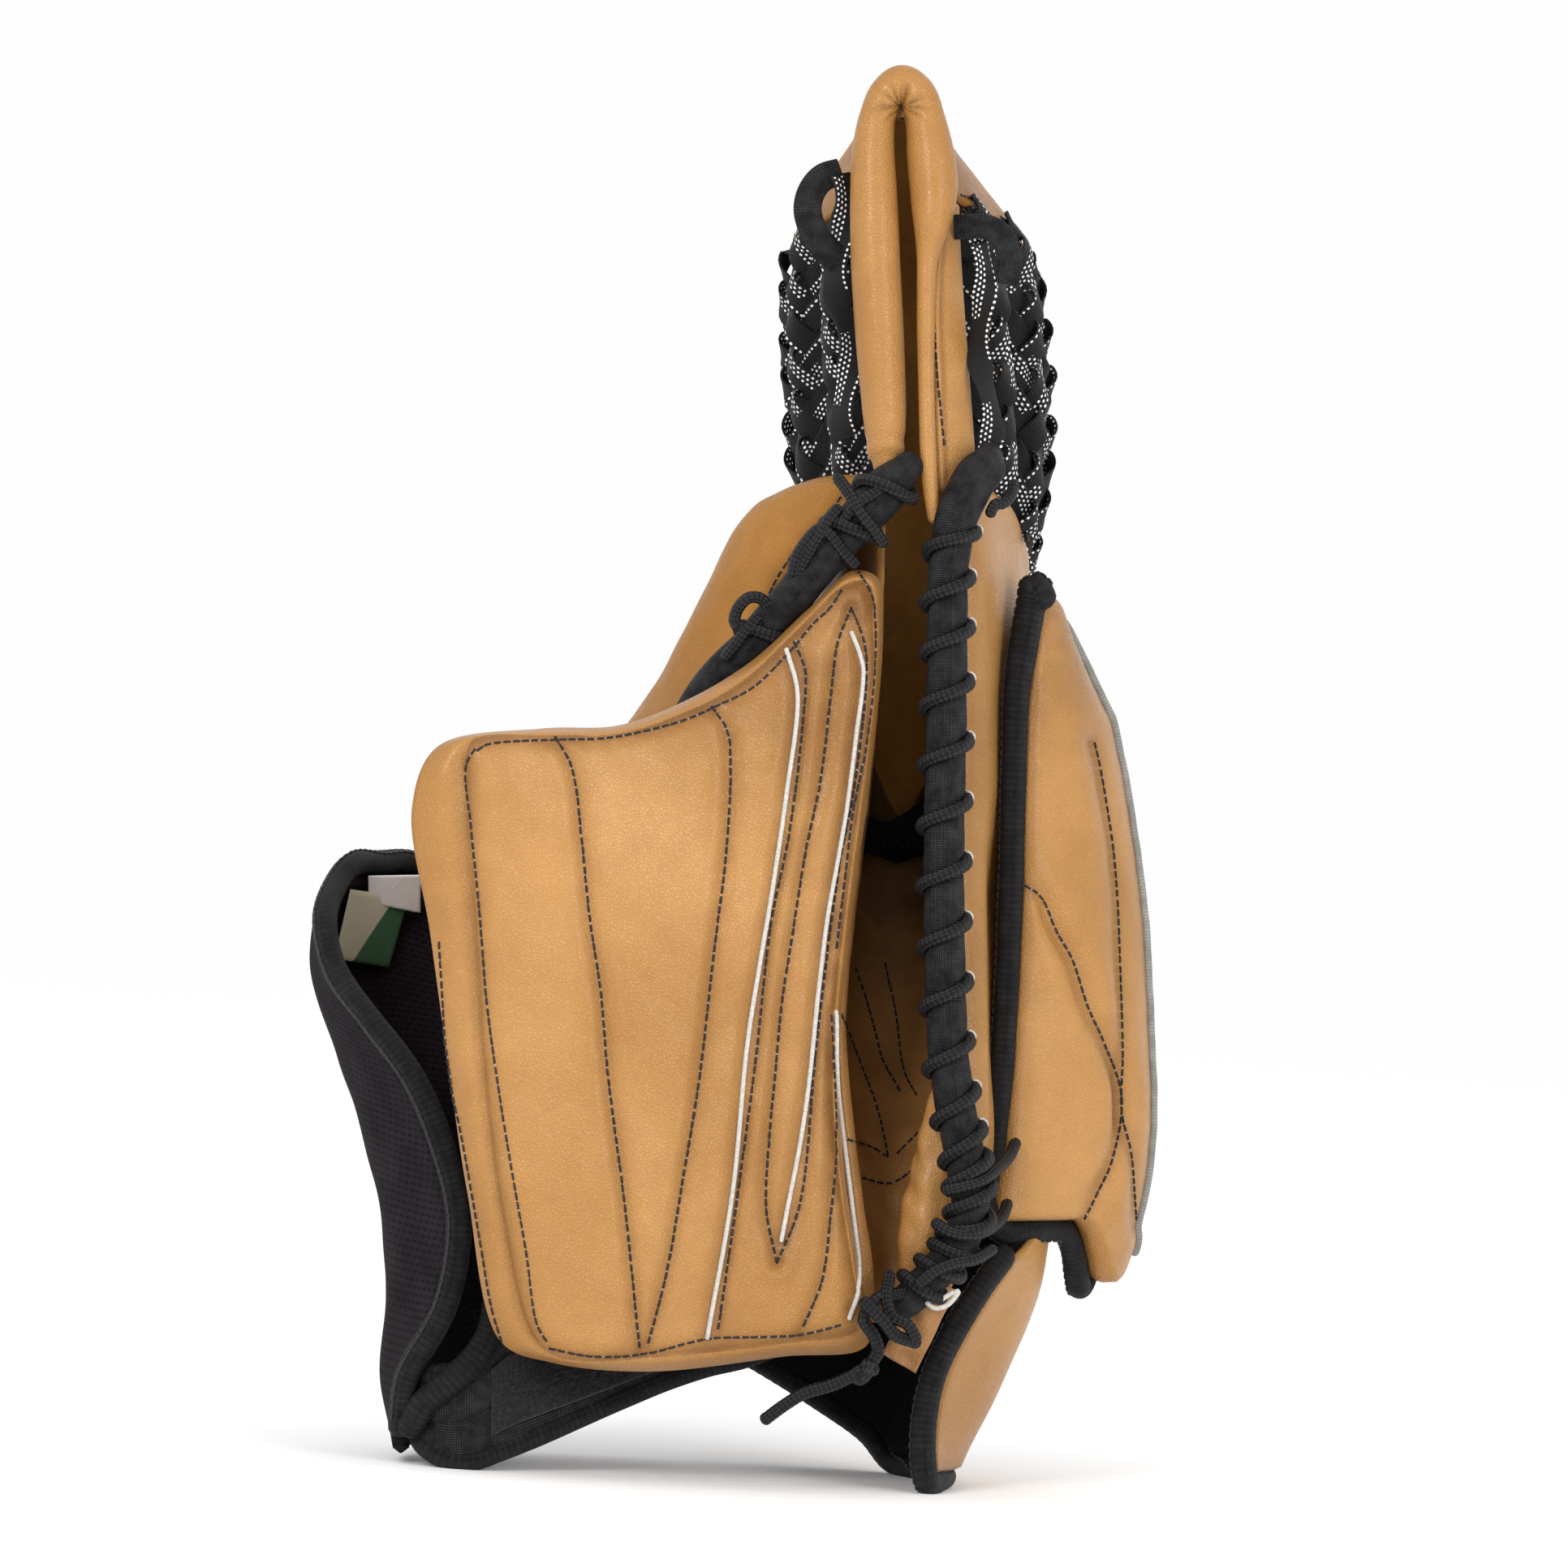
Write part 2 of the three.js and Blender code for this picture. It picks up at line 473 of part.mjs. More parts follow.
// The cuff board: a padded board whose crowned face looks out between the thumb and the wrist.
function cuffBoard(grow = 0) {
  const spread = 46;
  const middle = new THREE.Vector3(-22, 0, 150);
  const ring = ({ name, inset, share = 0, depth }) => {
    const points = BOARD.map((row) => new THREE.Vector3(row[name + "X"], 0, row[name + "Z"]));
    const curve = new THREE.CatmullRomCurve3(points, true, "centripetal");
    return Array.from({ length: spread }, (_, k) => {
      const p = curve.getPoint(k / spread);
      const out = p.clone().sub(middle).normalize();
      p.addScaledVector(out, grow - inset).lerp(middle, share);
      p.y = BOARD_FRONT.y - BOARD_FRONT.slope * (BOARD_FRONT.atX - p.x) + depth;
      return p;
    });
  };
  return loft([
    ring({ name: "edge", inset: 5, depth: BOARD_FRONT.thickness + grow }),
    ring({ name: "edge", inset: 0.5, depth: BOARD_FRONT.thickness - 4 + grow }),
    ring({ name: "edge", inset: 0, depth: 9 }),
    ring({ name: "seam", inset: 0, depth: 1 - grow }),
    ring({ name: "seam", inset: 7, depth: -0.7 * BOARD_FRONT.crown - grow }),
    ring({ name: "seam", inset: 7, share: 0.35, depth: -BOARD_FRONT.crown - grow }),
  ]);
}

// The thumb pad: from the thumb's rim, out over the thumb and round to its back seam.
const thumb = columns(THUMB_PAD, "row");
function thumbPad(grow = 0) {
  const last = THUMB_PAD.length - 1;
  const surface = (u, v) => {
    const row = v * last;
    const rim = new THREE.Vector3(thumb.rimX(row), thumb.rimY(row), thumb.rimZ(row));
    const seam = new THREE.Vector3(thumb.seamX(row), thumb.seamY(row), thumb.seamZ(row));
    const out = new THREE.Vector3(-0.76, 0, 0.65).multiplyScalar(thumb.swell(row));
    const side = rim.clone().add(out).setY(thumb.sideY(row));
    const behind = side.clone().lerp(seam, 0.5).addScaledVector(out, 0.2);
    return throughPoints([rim, side, behind, seam])(u);
  };
  const inner = (u, v) => 3 + 4 * Math.sin(Math.PI * u) * Math.min(1, 3 * v);
  return wall(surface, { nu: 10, nv: 12, outer: () => 0, inner, grow });
}

// The back pad: crowned armour over the fingers and the back of the hand.
const backPadAt = columns(BACK_PAD);
function backPadSurface(u, z) {
  const near = new THREE.Vector3(backPadAt.nearX(z), backPadAt.nearY(z), z);
  const ridge = new THREE.Vector3(backPadAt.ridgeX(z), backPadAt.ridgeY(z), z);
  const back = new THREE.Vector3(backPadAt.backX(z), backPadAt.backY(z), z);
  const front = near.clone().lerp(ridge, 0.45).add(new THREE.Vector3(3, -3, 0));
  const behind = ridge.clone().lerp(back, 0.5).add(new THREE.Vector3(4, 2, 0));
  return throughPoints([near, front, ridge, behind, back])(u);
}
// Its lower edge is level near the fingers and drops to a tongue at the side.
function backPadLow(u) {
  return 90 - 22 * THREE.MathUtils.smoothstep(u, 0.33, 0.46) + 14 * THREE.MathUtils.smoothstep(u, 0.6, 1);
}
function backPad(grow = 0) {
  const surface = (u, v) => {
    const low = backPadLow(u);
    const high = 302 - 26 * u ** 1.5;
    return backPadSurface(u, low + (high - low) * v);
  };
  const outer = (u, v) =>
    BACK_PAD_EDGE + BACK_PAD_CROWN * Math.sin(Math.PI * u) ** 0.7 * Math.min(1, 6 * (1 - v)) ** 0.7;
  return wall(surface, { nu: 12, nv: 12, outer, inner: () => 0, grow });
}

const gauntletAt = columns(GAUNTLET);
function gauntletSurface(u, z) {
  const point = (name) => new THREE.Vector3(gauntletAt[name + "X"](z), gauntletAt[name + "Y"](z), z);
  return throughPoints([point("near"), point("side"), point("back"), point("end")])(u);
}
// The gauntlet's lower edge runs level through its foot, then climbs to its hidden end.
const gauntletLow = (u) => 6 + 38 * Math.max(0, (u - 0.62) / 0.38) ** 1.1;
function gauntlet(grow = 0, layer = "shell") {
  const surface = (u, v) => {
    const low = gauntletLow(u);
    const high = 79 + 13 * THREE.MathUtils.smoothstep(u, 0, 0.25);
    return gauntletSurface(u, low + (high - low) * v);
  };
  const outer = layer === "shell" ? () => LEATHER + 1 : () => -2 * GAP;
  const inner = layer === "shell" ? () => 0 : () => 3.4;
  return wall(surface, { nu: 14, nv: 6, outer, inner, grow });
}

const wrapAt = columns(WRAP);
function wrapSurface(u, z) {
  const point = (name) => new THREE.Vector3(wrapAt[name + "X"](z), wrapAt[name + "Y"](z), z);
  return throughPoints([point("near"), point("side"), point("back"), point("end")])(u);
}
function wrapHigh(u) {
  return 196 + 11 * THREE.MathUtils.smoothstep(u, 0, 0.35) - 30 * THREE.MathUtils.smoothstep(u, 0.6, 1);
}
const wrapLow = (u) => 14.5 + 28 * THREE.MathUtils.smoothstep(u, 0.3, 1);
// The wrist wrap: a padded band whose near edge is cut back in a long curve.
function wristWrap(grow = 0) {
  const surface = (u, v) => wrapSurface(u, wrapLow(u) + (wrapHigh(u) - wrapLow(u)) * v);
  return wall(surface, {
    nu: 14, nv: 12, outer: () => WRAP_WALL / 2, inner: () => WRAP_WALL / 2, grow,
  });
}

// A row of a tube's table beside a wall's first edge, standing off it by a distance.
function beside(surface, z, r, distance) {
  const p = surface(0, z);
  const away = p.clone().sub(surface(0.03, z)).normalize();
  p.addScaledVector(away, distance);
  return { x: p.x, y: p.y, z: p.z, r };
}
// A row of a tube's table at a place on a surface.
function onSurface(surface, u, z, r) {
  const p = surface(u, z);
  return { x: p.x, y: p.y, z: p.z, r };
}
// A binding round the wrap: up its near edge and along its top.
function wrapBinding(grow = 0) {
  const nearEdge = [24, 40, 65, 92, 118, 140, 158, 174, 190].map((z) =>
    beside(wrapSurface, z, BINDING, BINDING + GAP));
  const topEdge = [0.14, 0.3, 0.48, 0.64, 0.8, 0.95].map((u) =>
    onSurface(wrapSurface, u, wrapHigh(u) + BINDING + GAP, BINDING));
  return tube([...nearEdge, ...topEdge], { sides: 8, steps: 36, grow });
}

// The gauntlet's binding: down its near edge to the tip, then up along its lower edge.
function gauntletBinding(grow = 0) {
  const nearEdge = [78, 66, 52, 38, 24, 12].map((z) => beside(gauntletSurface, z, BINDING, BINDING + GAP));
  const tip = [beside(gauntletSurface, 4, BINDING, 1.5)];
  const lowEdge = [0.14, 0.28, 0.42, 0.54, 0.64, 0.74, 0.87, 1].map((u) =>
    onSurface(gauntletSurface, u, gauntletLow(u) - 3.2, 3.6));
  return tube([...nearEdge, ...tip, ...lowEdge], { sides: 8, steps: 34, grow });
}

// The back pad's binding: down its near edge, along the bottom and round the tongue.
function backPadBinding(grow = 0) {
  const nearEdge = [303, 290, 268, 240, 206, 173, 140, 112, 97].map((z) =>
    beside(backPadSurface, z, BINDING, BINDING + GAP));
  const lowEdge = [0.06, 0.18, 0.3, 0.36, 0.42, 0.5, 0.6].map((u) =>
    onSurface(backPadSurface, u, backPadLow(u) - BINDING - GAP, BINDING));
  return tube([...nearEdge, ...lowEdge], { sides: 8, steps: 34, grow });
}

// The wrist strap, and the binding along its upper edge.
const strapAt = columns(STRAP, "row");
function strapSurface(u, v) {
  const row = u * (STRAP.length - 1);
  return new THREE.Vector3(strapAt.x(row), strapAt.y(row), THREE.MathUtils.lerp(strapAt.low(row), strapAt.high(row), v));
}
const wristStrap = (grow = 0) =>
  wall(strapSurface, { nu: 16, nv: 4, outer: () => 3, inner: () => 3, grow });
function strapBinding(grow = 0) {
  const rows = [0, 0.1, 0.2, 0.3, 0.4, 0.5].map((u) => {
    const p = strapSurface(u, 1);
    return { x: p.x, y: p.y, z: p.z + BINDING, r: BINDING };
  });
  return tube(rows, { sides: 8, steps: 14, grow });
}

// The panel over the back of the hand.
const handBackAt = columns(HAND_BACK);
function handBack() {
  const surface = (u, v) => {
    const z = THREE.MathUtils.lerp(HAND_BACK[0].z, HAND_BACK.at(-1).z, v);
    const point = (name) => new THREE.Vector3(handBackAt[name + "X"](z), handBackAt[name + "Y"](z), z);
    return throughPoints([point("right"), point("mid"), point("left")])(u);
  };
  return wall(surface, { nu: 12, nv: 8, outer: () => 4, inner: () => 0 });
}

// The flat flap beside the bar's right leg.
const flapAt = columns(T_FLAP);
function tBarFlap(grow = 0) {
  const surface = (u, v) => {
    const z = THREE.MathUtils.lerp(T_FLAP[0].z, T_FLAP.at(-1).z, v);
    const inner = new THREE.Vector3(flapAt.inX(z), flapAt.inY(z), z);
    return inner.lerp(new THREE.Vector3(flapAt.outX(z), flapAt.outY(z), z), u);
  };
  return wall(surface, { nu: 3, nv: 10, outer: () => 1.2, inner: () => 1.2, grow });
}

// The wrinkled flap at the heel, between the rim's end and the gauntlet's lining.
function heelFlap() {
  const surface = (u, v) => new THREE.Vector3(
    THREE.MathUtils.lerp(53, 64, u) + 13 * v,
    -52 - 5 * Math.sin(Math.PI * u) * v,
    THREE.MathUtils.lerp(47, 40.5, u) + 28 * v,
  );
  return wall(surface, { nu: 4, nv: 5, outer: () => 1.3, inner: () => 1.3 });
}

// A cloth label on the wrap's inner face, given by its corners in X and Z.
function insideWrap(corners, thickness, lift) {
  const [a, b, c, d] = corners.map(([x, z]) => new THREE.Vector2(x, z));
  const surface = (u, v) => {
    const low = a.clone().lerp(b, u);
    const at = low.lerp(d.clone().lerp(c, u), v);
    let near = 0.3;
    let far = 0.9;
    for (let k = 0; k < 24; k += 1) {
      const middle = (near + far) / 2;
      if (wrapSurface(middle, at.y).x < at.x) near = middle;
      else far = middle;
    }
    return wrapSurface(near, at.y);
  };
  const start = WRAP_WALL / 2 + GAP + lift;
  return wall(surface, { nu: 4, nv: 4, outer: () => start + thickness, inner: () => -start });
}

const perimeterRoll = (grow = 0) => tube(PERIMETER_ROLL, { sides: 10, steps: 30, grow });
const thumbRoll = (grow = 0) => tube(THUMB_RIM, { sides: 10, steps: 14, grow });
const tBar = (grow = 0) => tube(T_BAR, { sides: 10, steps: 42, grow });

// The pocket's T: its stem up the fold, widening to a cap that closes the pocket's top.
const STEM = { spread: 28, capSpread: 87, top: 468.5, flareFrom: 0.7, flareTo: 0.84 };
function tStem(grow = 0) {
  const surface = (u, v) => {
    const flare = THREE.MathUtils.smoothstep(v, STEM.flareFrom, STEM.flareTo);
    const side = 2 * u - 1;
    const angle = 90 + THREE.MathUtils.lerp(STEM.spread, STEM.capSpread, flare) * side;
    const low = palmTop(90 + STEM.spread * side) + 1.2;
    return pocketPoint(angle, THREE.MathUtils.lerp(low, STEM.top, v));
  };
  const vs = [0, 0.12, 0.24, 0.36, 0.48, 0.58, 0.66, 0.7, 0.74, 0.78, 0.82, 0.86, 0.9, 0.93, 0.96, 0.98, 1];
  return wall(surface, { nu: 12, nv: vs.length - 1, vs, outer: () => LEATHER, inner: () => 0.4, grow });
}

// The height of the cap's lower edge at an angle of the pocket.
function capLow(angle) {
  const out = (Math.abs(angle - 90) - STEM.spread) / (STEM.capSpread - STEM.spread);
  const flare = 0.5 - Math.sin(Math.asin(1 - 2 * THREE.MathUtils.clamp(out, 0, 1)) / 3);
  const share = THREE.MathUtils.lerp(STEM.flareFrom, STEM.flareTo, flare);
  return THREE.MathUtils.lerp(palmTop(90 + STEM.spread) + 1.2, STEM.top, share);
}
// One side of the pocket's lace net: straps and gaps between the palm, the stem and the cap.
function pocketNet(firstAngle, lastAngle, grow = 0, whole = false) {
  const across = 6;
  const along = 7;
  const share = 0.6;
  const marks = (n) => {
    const list = [];
    for (let k = 0; k < n; k += 1) list.push(k / (n - 1 + share), (k + share) / (n - 1 + share));
    return list;
  };
  const us = marks(across);
  const vs = marks(along);
  const surface = (u, v) => {
    const angle = THREE.MathUtils.lerp(firstAngle, lastAngle, u);
    const low = palmTop(angle) + 1.2;
    return pocketPoint(angle, THREE.MathUtils.lerp(low, capLow(angle) - NET_GAP, v));
  };
  return wall(surface, {
    nu: us.length - 1, nv: vs.length - 1, us, vs,
    outer: () => 2.2, inner: () => 1.4, grow,
    present: (i, j) => whole || i % 2 === 0 || j % 2 === 0,
  });
}

// The black band over the joint between palm and stem, inside the pocket.
function breakBand() {
  const surface = (u, v) => {
    const angle = THREE.MathUtils.lerp(50, 130, u);
    return pocketPoint(angle, 206 + 16 * v + 14 * Math.abs(Math.cos(THREE.MathUtils.degToRad(angle))));
  };
  return wall(surface, { nu: 10, nv: 1, outer: () => -GAP - 0.6, inner: () => 3.4 });
}

// One turn of lace over a roll: from its hole on the right, round the front, into the pocket.
const curveOf = (rows) =>
  new THREE.CatmullRomCurve3(rows.map((row) => new THREE.Vector3(row.x, row.y, row.z)), false, "centripetal");
const rollCurve = curveOf(PERIMETER_ROLL);
const thumbCurve = curveOf(THUMB_RIM);
function laceTurn(curve, share, radius, { from = 20, to = -215, drop = 11 } = {}) {
  const centre = curve.getPoint(share);
  const along = curve.getTangent(share);
  const front = new THREE.Vector3(0, -1, 0).addScaledVector(along, along.y).normalize();
  const right = new THREE.Vector3().crossVectors(front, along).normalize();
  const reach = radius + GAP + LACE / 2;
  const points = Array.from({ length: 10 }, (_, k) => {
    const angle = THREE.MathUtils.degToRad(THREE.MathUtils.lerp(from, to, k / 9));
    return centre.clone()
      .addScaledVector(right, Math.cos(angle) * reach)
      .addScaledVector(front, -Math.sin(angle) * reach)
      .addScaledVector(along, drop * (k / 9 - 0.5));
  });
  return cord(points, LACE, 10);
}
const points = (rows) => rows.map((row) => new THREE.Vector3(row.x, row.y, row.z));

// Where on the roll a given height is, for spacing the lace.
function shareAtHeight(z) {
  let low = 0;
  let high = 1;
  for (let k = 0; k < 30; k += 1) {
    const middle = (low + high) / 2;
    if (rollCurve.getPoint(middle).z > z) low = middle;
    else high = middle;
  }
  return low;
}

const netRight = (grow = 0, whole = false) => pocketNet(3, 61.4, grow, whole);
const netLeft = (grow = 0, whole = false) => pocketNet(118.6, 177, grow, whole);
const lining = (grow = 0) => gauntlet(grow, "lining");
const floor = underFloor();

add("palm_shell", cutBy(palmShell(), perimeterRoll(GAP), thumbRoll(GAP), backPadBinding(GAP)), LEATHER_TAN);
add("cuff_board", cutBy(cuffBoard(), palmShell(GAP), thumbRoll(GAP)), LEATHER_TAN);
add(
  "thumb_pad",
  cutBy(
    thumbPad(), palmShell(GAP), thumbRoll(GAP), cuffBoard(GAP), netLeft(GAP, true), wristWrap(GAP),
    wrapBinding(GAP),
  ),
  LEATHER_TAN,
);
add("thumb_roll", thumbRoll(), NYLON_BLACK);
add("perimeter_roll", perimeterRoll(), NYLON_BLACK);
add("t_bar", cutBy(tBar(), thumbRoll(GAP), perimeterRoll(GAP), palmShell(GAP)), LEATHER_TAN);
add("t_bar_flap", cutBy(tBarFlap(), tBar(GAP), perimeterRoll(GAP), palmShell(GAP)), LEATHER_TAN);
add("t_stem", cutBy(tStem(), tBar(GAP), tBarFlap(GAP)), LEATHER_TAN);
add("pocket_net_right", cutBy(netRight(), tBar(GAP), tBarFlap(GAP), perimeterRoll(GAP)), LACE_BLACK);
add("pocket_net_left", cutBy(netLeft(), tBar(GAP)), LACE_BLACK);
add("break_band", breakBand(), NYLON_BLACK);
add("back_pad", cutBy(backPad(), palmShell(GAP)), LEATHER_TAN);
add("back_pad_binding", cutBy(backPadBinding(), backPad(0.35)), NYLON_BLACK);
add(
  "gauntlet",
  cutBy(gauntlet(), backPadBinding(GAP), backPad(GAP), palmShell(GAP), floor),
  LEATHER_TAN,
);
add(
  "gauntlet_lining",
  cutBy(lining(), gauntlet(GAP / 2), backPadBinding(GAP), backPad(GAP), palmShell(GAP), floor),
  MESH_BLACK,
);
add(
  "gauntlet_binding",
  cutBy(gauntletBinding(), gauntlet(GAP), lining(GAP), backPadBinding(GAP), perimeterRoll(GAP), floor),
  NYLON_BLACK,
);
add("wrist_wrap", cutBy(wristWrap(), cuffBoard(GAP), floor), MESH_BLACK);
add(
  "wrist_wrap_binding",
  cutBy(wrapBinding(), wristWrap(GAP), cuffBoard(GAP), floor),
  NYLON_BLACK,
);
add(
  "wrist_strap",
  cutBy(wristStrap(), wristWrap(GAP), wrapBinding(GAP), cuffBoard(GAP), palmShell(GAP), floor),
  MESH_BLACK,
);
add(
  "wrist_strap_binding",
  cutBy(strapBinding(), wristStrap(GAP), wristWrap(GAP), wrapBinding(GAP), cuffBoard(GAP)),
  NYLON_BLACK,
);
add(
  "hand_back",
  cutBy(handBack(), backPad(GAP), gauntlet(GAP), lining(GAP), wristWrap(GAP), thumbPad(GAP), palmShell(GAP)),
  MESH_BLACK,
);
add(
  "heel_flap",
  cutBy(heelFlap(), palmShell(GAP), perimeterRoll(GAP), gauntletBinding(GAP), lining(GAP), gauntlet(GAP)),
  LEATHER_TAN,
);

for (const [k, z] of LACE_TURNS.entries()) {
  const name = `lace_turn_${String(k + 1).padStart(2, "0")}`;
  add(name, laceTurn(rollCurve, shareAtHeight(z), ROLL + 0.15), LACE_BLACK);
}
add("thumb_lace_tip", cutBy(laceTurn(thumbCurve, 0.16, 6.6), thumbRoll(GAP), tBar(GAP), palmShell(GAP)), LACE_BLACK);
add("thumb_lace_middle", cutBy(laceTurn(thumbCurve, 0.34, 6), thumbRoll(GAP), thumbPad(GAP), palmShell(GAP), cuffBoard(GAP)), LACE_BLACK);
add("thumb_lace_low", cutBy(laceTurn(thumbCurve, 0.68, 5.4), thumbRoll(GAP), thumbPad(GAP), cuffBoard(GAP)), LACE_BLACK);
add(
  "heel_lace",
  cutBy(withKnot(cord(points(HEEL_LACE), LACE, 16), HEEL_LACE.at(-1)), perimeterRoll(GAP), palmShell(GAP)),
  LACE_BLACK,
);
add("heel_lace_loop", cord(points(HEEL_LOOP), LACE, 10), LACE_BLACK);
add("heel_lace_tail", cord(points(HEEL_TAIL), LACE, 12), LACE_BLACK);
const SIZE_LABEL = [[-129, 180], [-110.4, 175.2], [-104.2, 195.5], [-121.8, 202.2]];
const CARE_TAG = [[-118, 199], [-100.7, 195.5], [-100.7, 206.3], [-119, 205.7]];
add("size_label", cutBy(insideWrap(SIZE_LABEL, 0.9, 0.6), wristWrap(GAP / 2)), LABEL_CREAM);
add("care_tag", insideWrap(CARE_TAG, 0.7, 1.9), TAG_WHITE);

// The glove leans onto its two feet, and its footprint's middle becomes the origin.
glove.rotation.y = -THREE.MathUtils.degToRad(STANCE_TILT);
glove.updateMatrixWorld(true);
const box = new THREE.Box3().setFromObject(glove, true);
const middle = box.getCenter(new THREE.Vector3());
glove.position.set(-middle.x, -middle.y, -box.min.z);

export default glove;
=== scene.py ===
# A goalie's catching glove in tan leather: the CAD model dressed in leather, cloth and lace.
# Tables are in millimetres with the glove upright, and world() leans it onto its two feet.
import math

import bpy
import numpy as np
from mathutils import Matrix, Vector
from mathutils.bvhtree import BVHTree

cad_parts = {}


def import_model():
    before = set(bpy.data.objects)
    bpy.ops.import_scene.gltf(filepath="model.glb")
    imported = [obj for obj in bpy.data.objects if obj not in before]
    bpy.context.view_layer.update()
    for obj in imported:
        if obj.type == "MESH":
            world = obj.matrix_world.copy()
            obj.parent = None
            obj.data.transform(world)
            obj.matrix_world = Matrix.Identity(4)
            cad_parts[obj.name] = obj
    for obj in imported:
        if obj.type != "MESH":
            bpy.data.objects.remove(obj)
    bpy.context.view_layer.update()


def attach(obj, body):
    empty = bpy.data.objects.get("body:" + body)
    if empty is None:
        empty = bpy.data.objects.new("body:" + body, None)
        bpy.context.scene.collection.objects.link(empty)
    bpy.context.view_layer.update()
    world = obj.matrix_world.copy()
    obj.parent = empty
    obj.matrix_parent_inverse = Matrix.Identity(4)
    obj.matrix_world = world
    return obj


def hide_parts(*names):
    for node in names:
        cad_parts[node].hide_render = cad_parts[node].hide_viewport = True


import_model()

scene = bpy.context.scene
TILT = math.radians(3.87)
ORIGIN = (7.746775, -9.839985, -4.6)
EYE = np.array([20.25, -3050.0, 236.5])  # the camera in the upright glove's millimetres
PICTURE_Y = -50.0  # depth of the plane that the photograph's pixels are measured on
PIXEL = 0.27  # millimetres per photograph pixel on that plane
FRONT = np.array([0.0, -1.0, 0.0])


def world(points):
    """Upright millimetres to metres in the row's frame."""
    p = np.asarray(points, float)
    s = math.sin(TILT)
    c = math.cos(TILT)
    x = p[..., 0] * c - p[..., 2] * s + ORIGIN[0]
    y = p[..., 1] + ORIGIN[1]
    z = p[..., 0] * s + p[..., 2] * c + ORIGIN[2]
    return np.stack([x, y, z], -1) / 1000


def drawn(pixels):
    """Photograph pixels to X and Z on the picture plane."""
    p = np.asarray(pixels, float)
    return np.stack([(p[:, 0] - 891) * PIXEL, (1842 - p[:, 1]) * PIXEL], -1)


def seen(points):
    """Points whose X and Z are on the picture plane, moved along the view to their own depth."""
    p = np.array(points, float)
    share = (p[..., 1] - EYE[1]) / (PICTURE_Y - EYE[1])
    p[..., 0] = EYE[0] + (p[..., 0] - EYE[0]) * share
    p[..., 2] = EYE[2] + (p[..., 2] - EYE[2]) * share
    return p


def picture(points):
    """X and Z on the picture plane of points in space."""
    p = np.asarray(points, float)
    share = (PICTURE_Y - EYE[1]) / (p[..., 1] - EYE[1])
    x = EYE[0] + (p[..., 0] - EYE[0]) * share
    z = EYE[2] + (p[..., 2] - EYE[2]) * share
    return np.stack([x, z], -1)


# The camera, at the photograph's angle.
lens = bpy.data.cameras.new("camera")
lens.sensor_width = 36
lens.lens = 207.04
lens.clip_end = 50
camera = bpy.data.objects.new("camera", lens)
scene.collection.objects.link(camera)
turn = Matrix((
    (math.cos(TILT), -math.sin(TILT), 0, 0),
    (0, 0, -1, 0),
    (math.sin(TILT), math.cos(TILT), 0, 0),
    (0, 0, 0, 1),
))
camera.matrix_world = Matrix.Translation(Vector(world(EYE))) @ turn
scene.camera = camera
scene.view_settings.view_transform = "Standard"
scene.view_settings.exposure = 0.32


# Curves and tables.
class Curve:
    """The centripetal Catmull-Rom curve through points, with t from 0 to 1."""

    def __init__(self, points, closed=False):
        p = np.asarray(points, float)
        self.count = len(p)
        self.closed = closed
        self.p = p if closed else np.vstack([2 * p[0] - p[1], p, 2 * p[-1] - p[-2]])

    def at(self, t):
        t = np.atleast_1d(np.asarray(t, float))
        n = self.count
        if self.closed:
            s = t * n
            i = np.floor(s).astype(int)
            w = s - i
            p = [self.p[(i + k) % n] for k in (-1, 0, 1, 2)]
        else:
            s = np.clip(t, 0, 1) * (n - 1)
            i = np.minimum(np.floor(s).astype(int), n - 2)
            w = s - i
            p = [self.p[i + k] for k in (0, 1, 2, 3)]
        return centripetal(p, w)

    def even(self, step):
        """Points along the curve at one even spacing."""
        p = self.at(np.linspace(0, 1, 40 * self.count))
        return resample(p, step)


def centripetal(p, w):
    """The point at w, from 0 to 1, between the middle two of four points."""
    p0, p1, p2, p3 = p
    w = w[..., None]
    d0, d1, d2 = (
        np.maximum(np.linalg.norm(b - a, axis=-1, keepdims=True), 1e-6) ** 0.5
        for a, b in ((p0, p1), (p1, p2), (p2, p3))
    )
    m1 = ((p1 - p0) / d0 - (p2 - p0) / (d0 + d1) + (p2 - p1) / d1) * d1
    m2 = ((p2 - p1) / d1 - (p3 - p1) / (d1 + d2) + (p3 - p2) / d2) * d1
    c2 = -3 * p1 + 3 * p2 - 2 * m1 - m2
    c3 = 2 * p1 - 2 * p2 + m1 + m2
    return p1 + m1 * w + c2 * w**2 + c3 * w**3


def run_of(p):
    """The length along a line of points, up to each of them."""
    return np.concatenate([[0], np.cumsum(np.linalg.norm(np.diff(p, axis=0), axis=1))])


def resample(p, step):
    """Points along a line of points at one even spacing."""
    length = run_of(p)
    n = max(2, int(round(length[-1] / step)) + 1)
    s = np.linspace(0, length[-1], n)
    return np.stack([np.interp(s, length, p[:, k]) for k in range(p.shape[1])], -1)


def through(points, u):
    """For arrays of control points, the point at u of the curve through each set of them."""
    p = np.stack(points)
    p = np.concatenate([2 * p[:1] - p[1:2], p, 2 * p[-1:] - p[-2:-1]])
    n = len(points)
    s = np.clip(u, 0, 1) * (n - 1)
    i = np.minimum(np.floor(s).astype(int), n - 2)
    w = s - i
    picked = [np.take_along_axis(p, (i + k)[None, ..., None], axis=0)[0] for k in range(4)]
    return centripetal(picked, w)


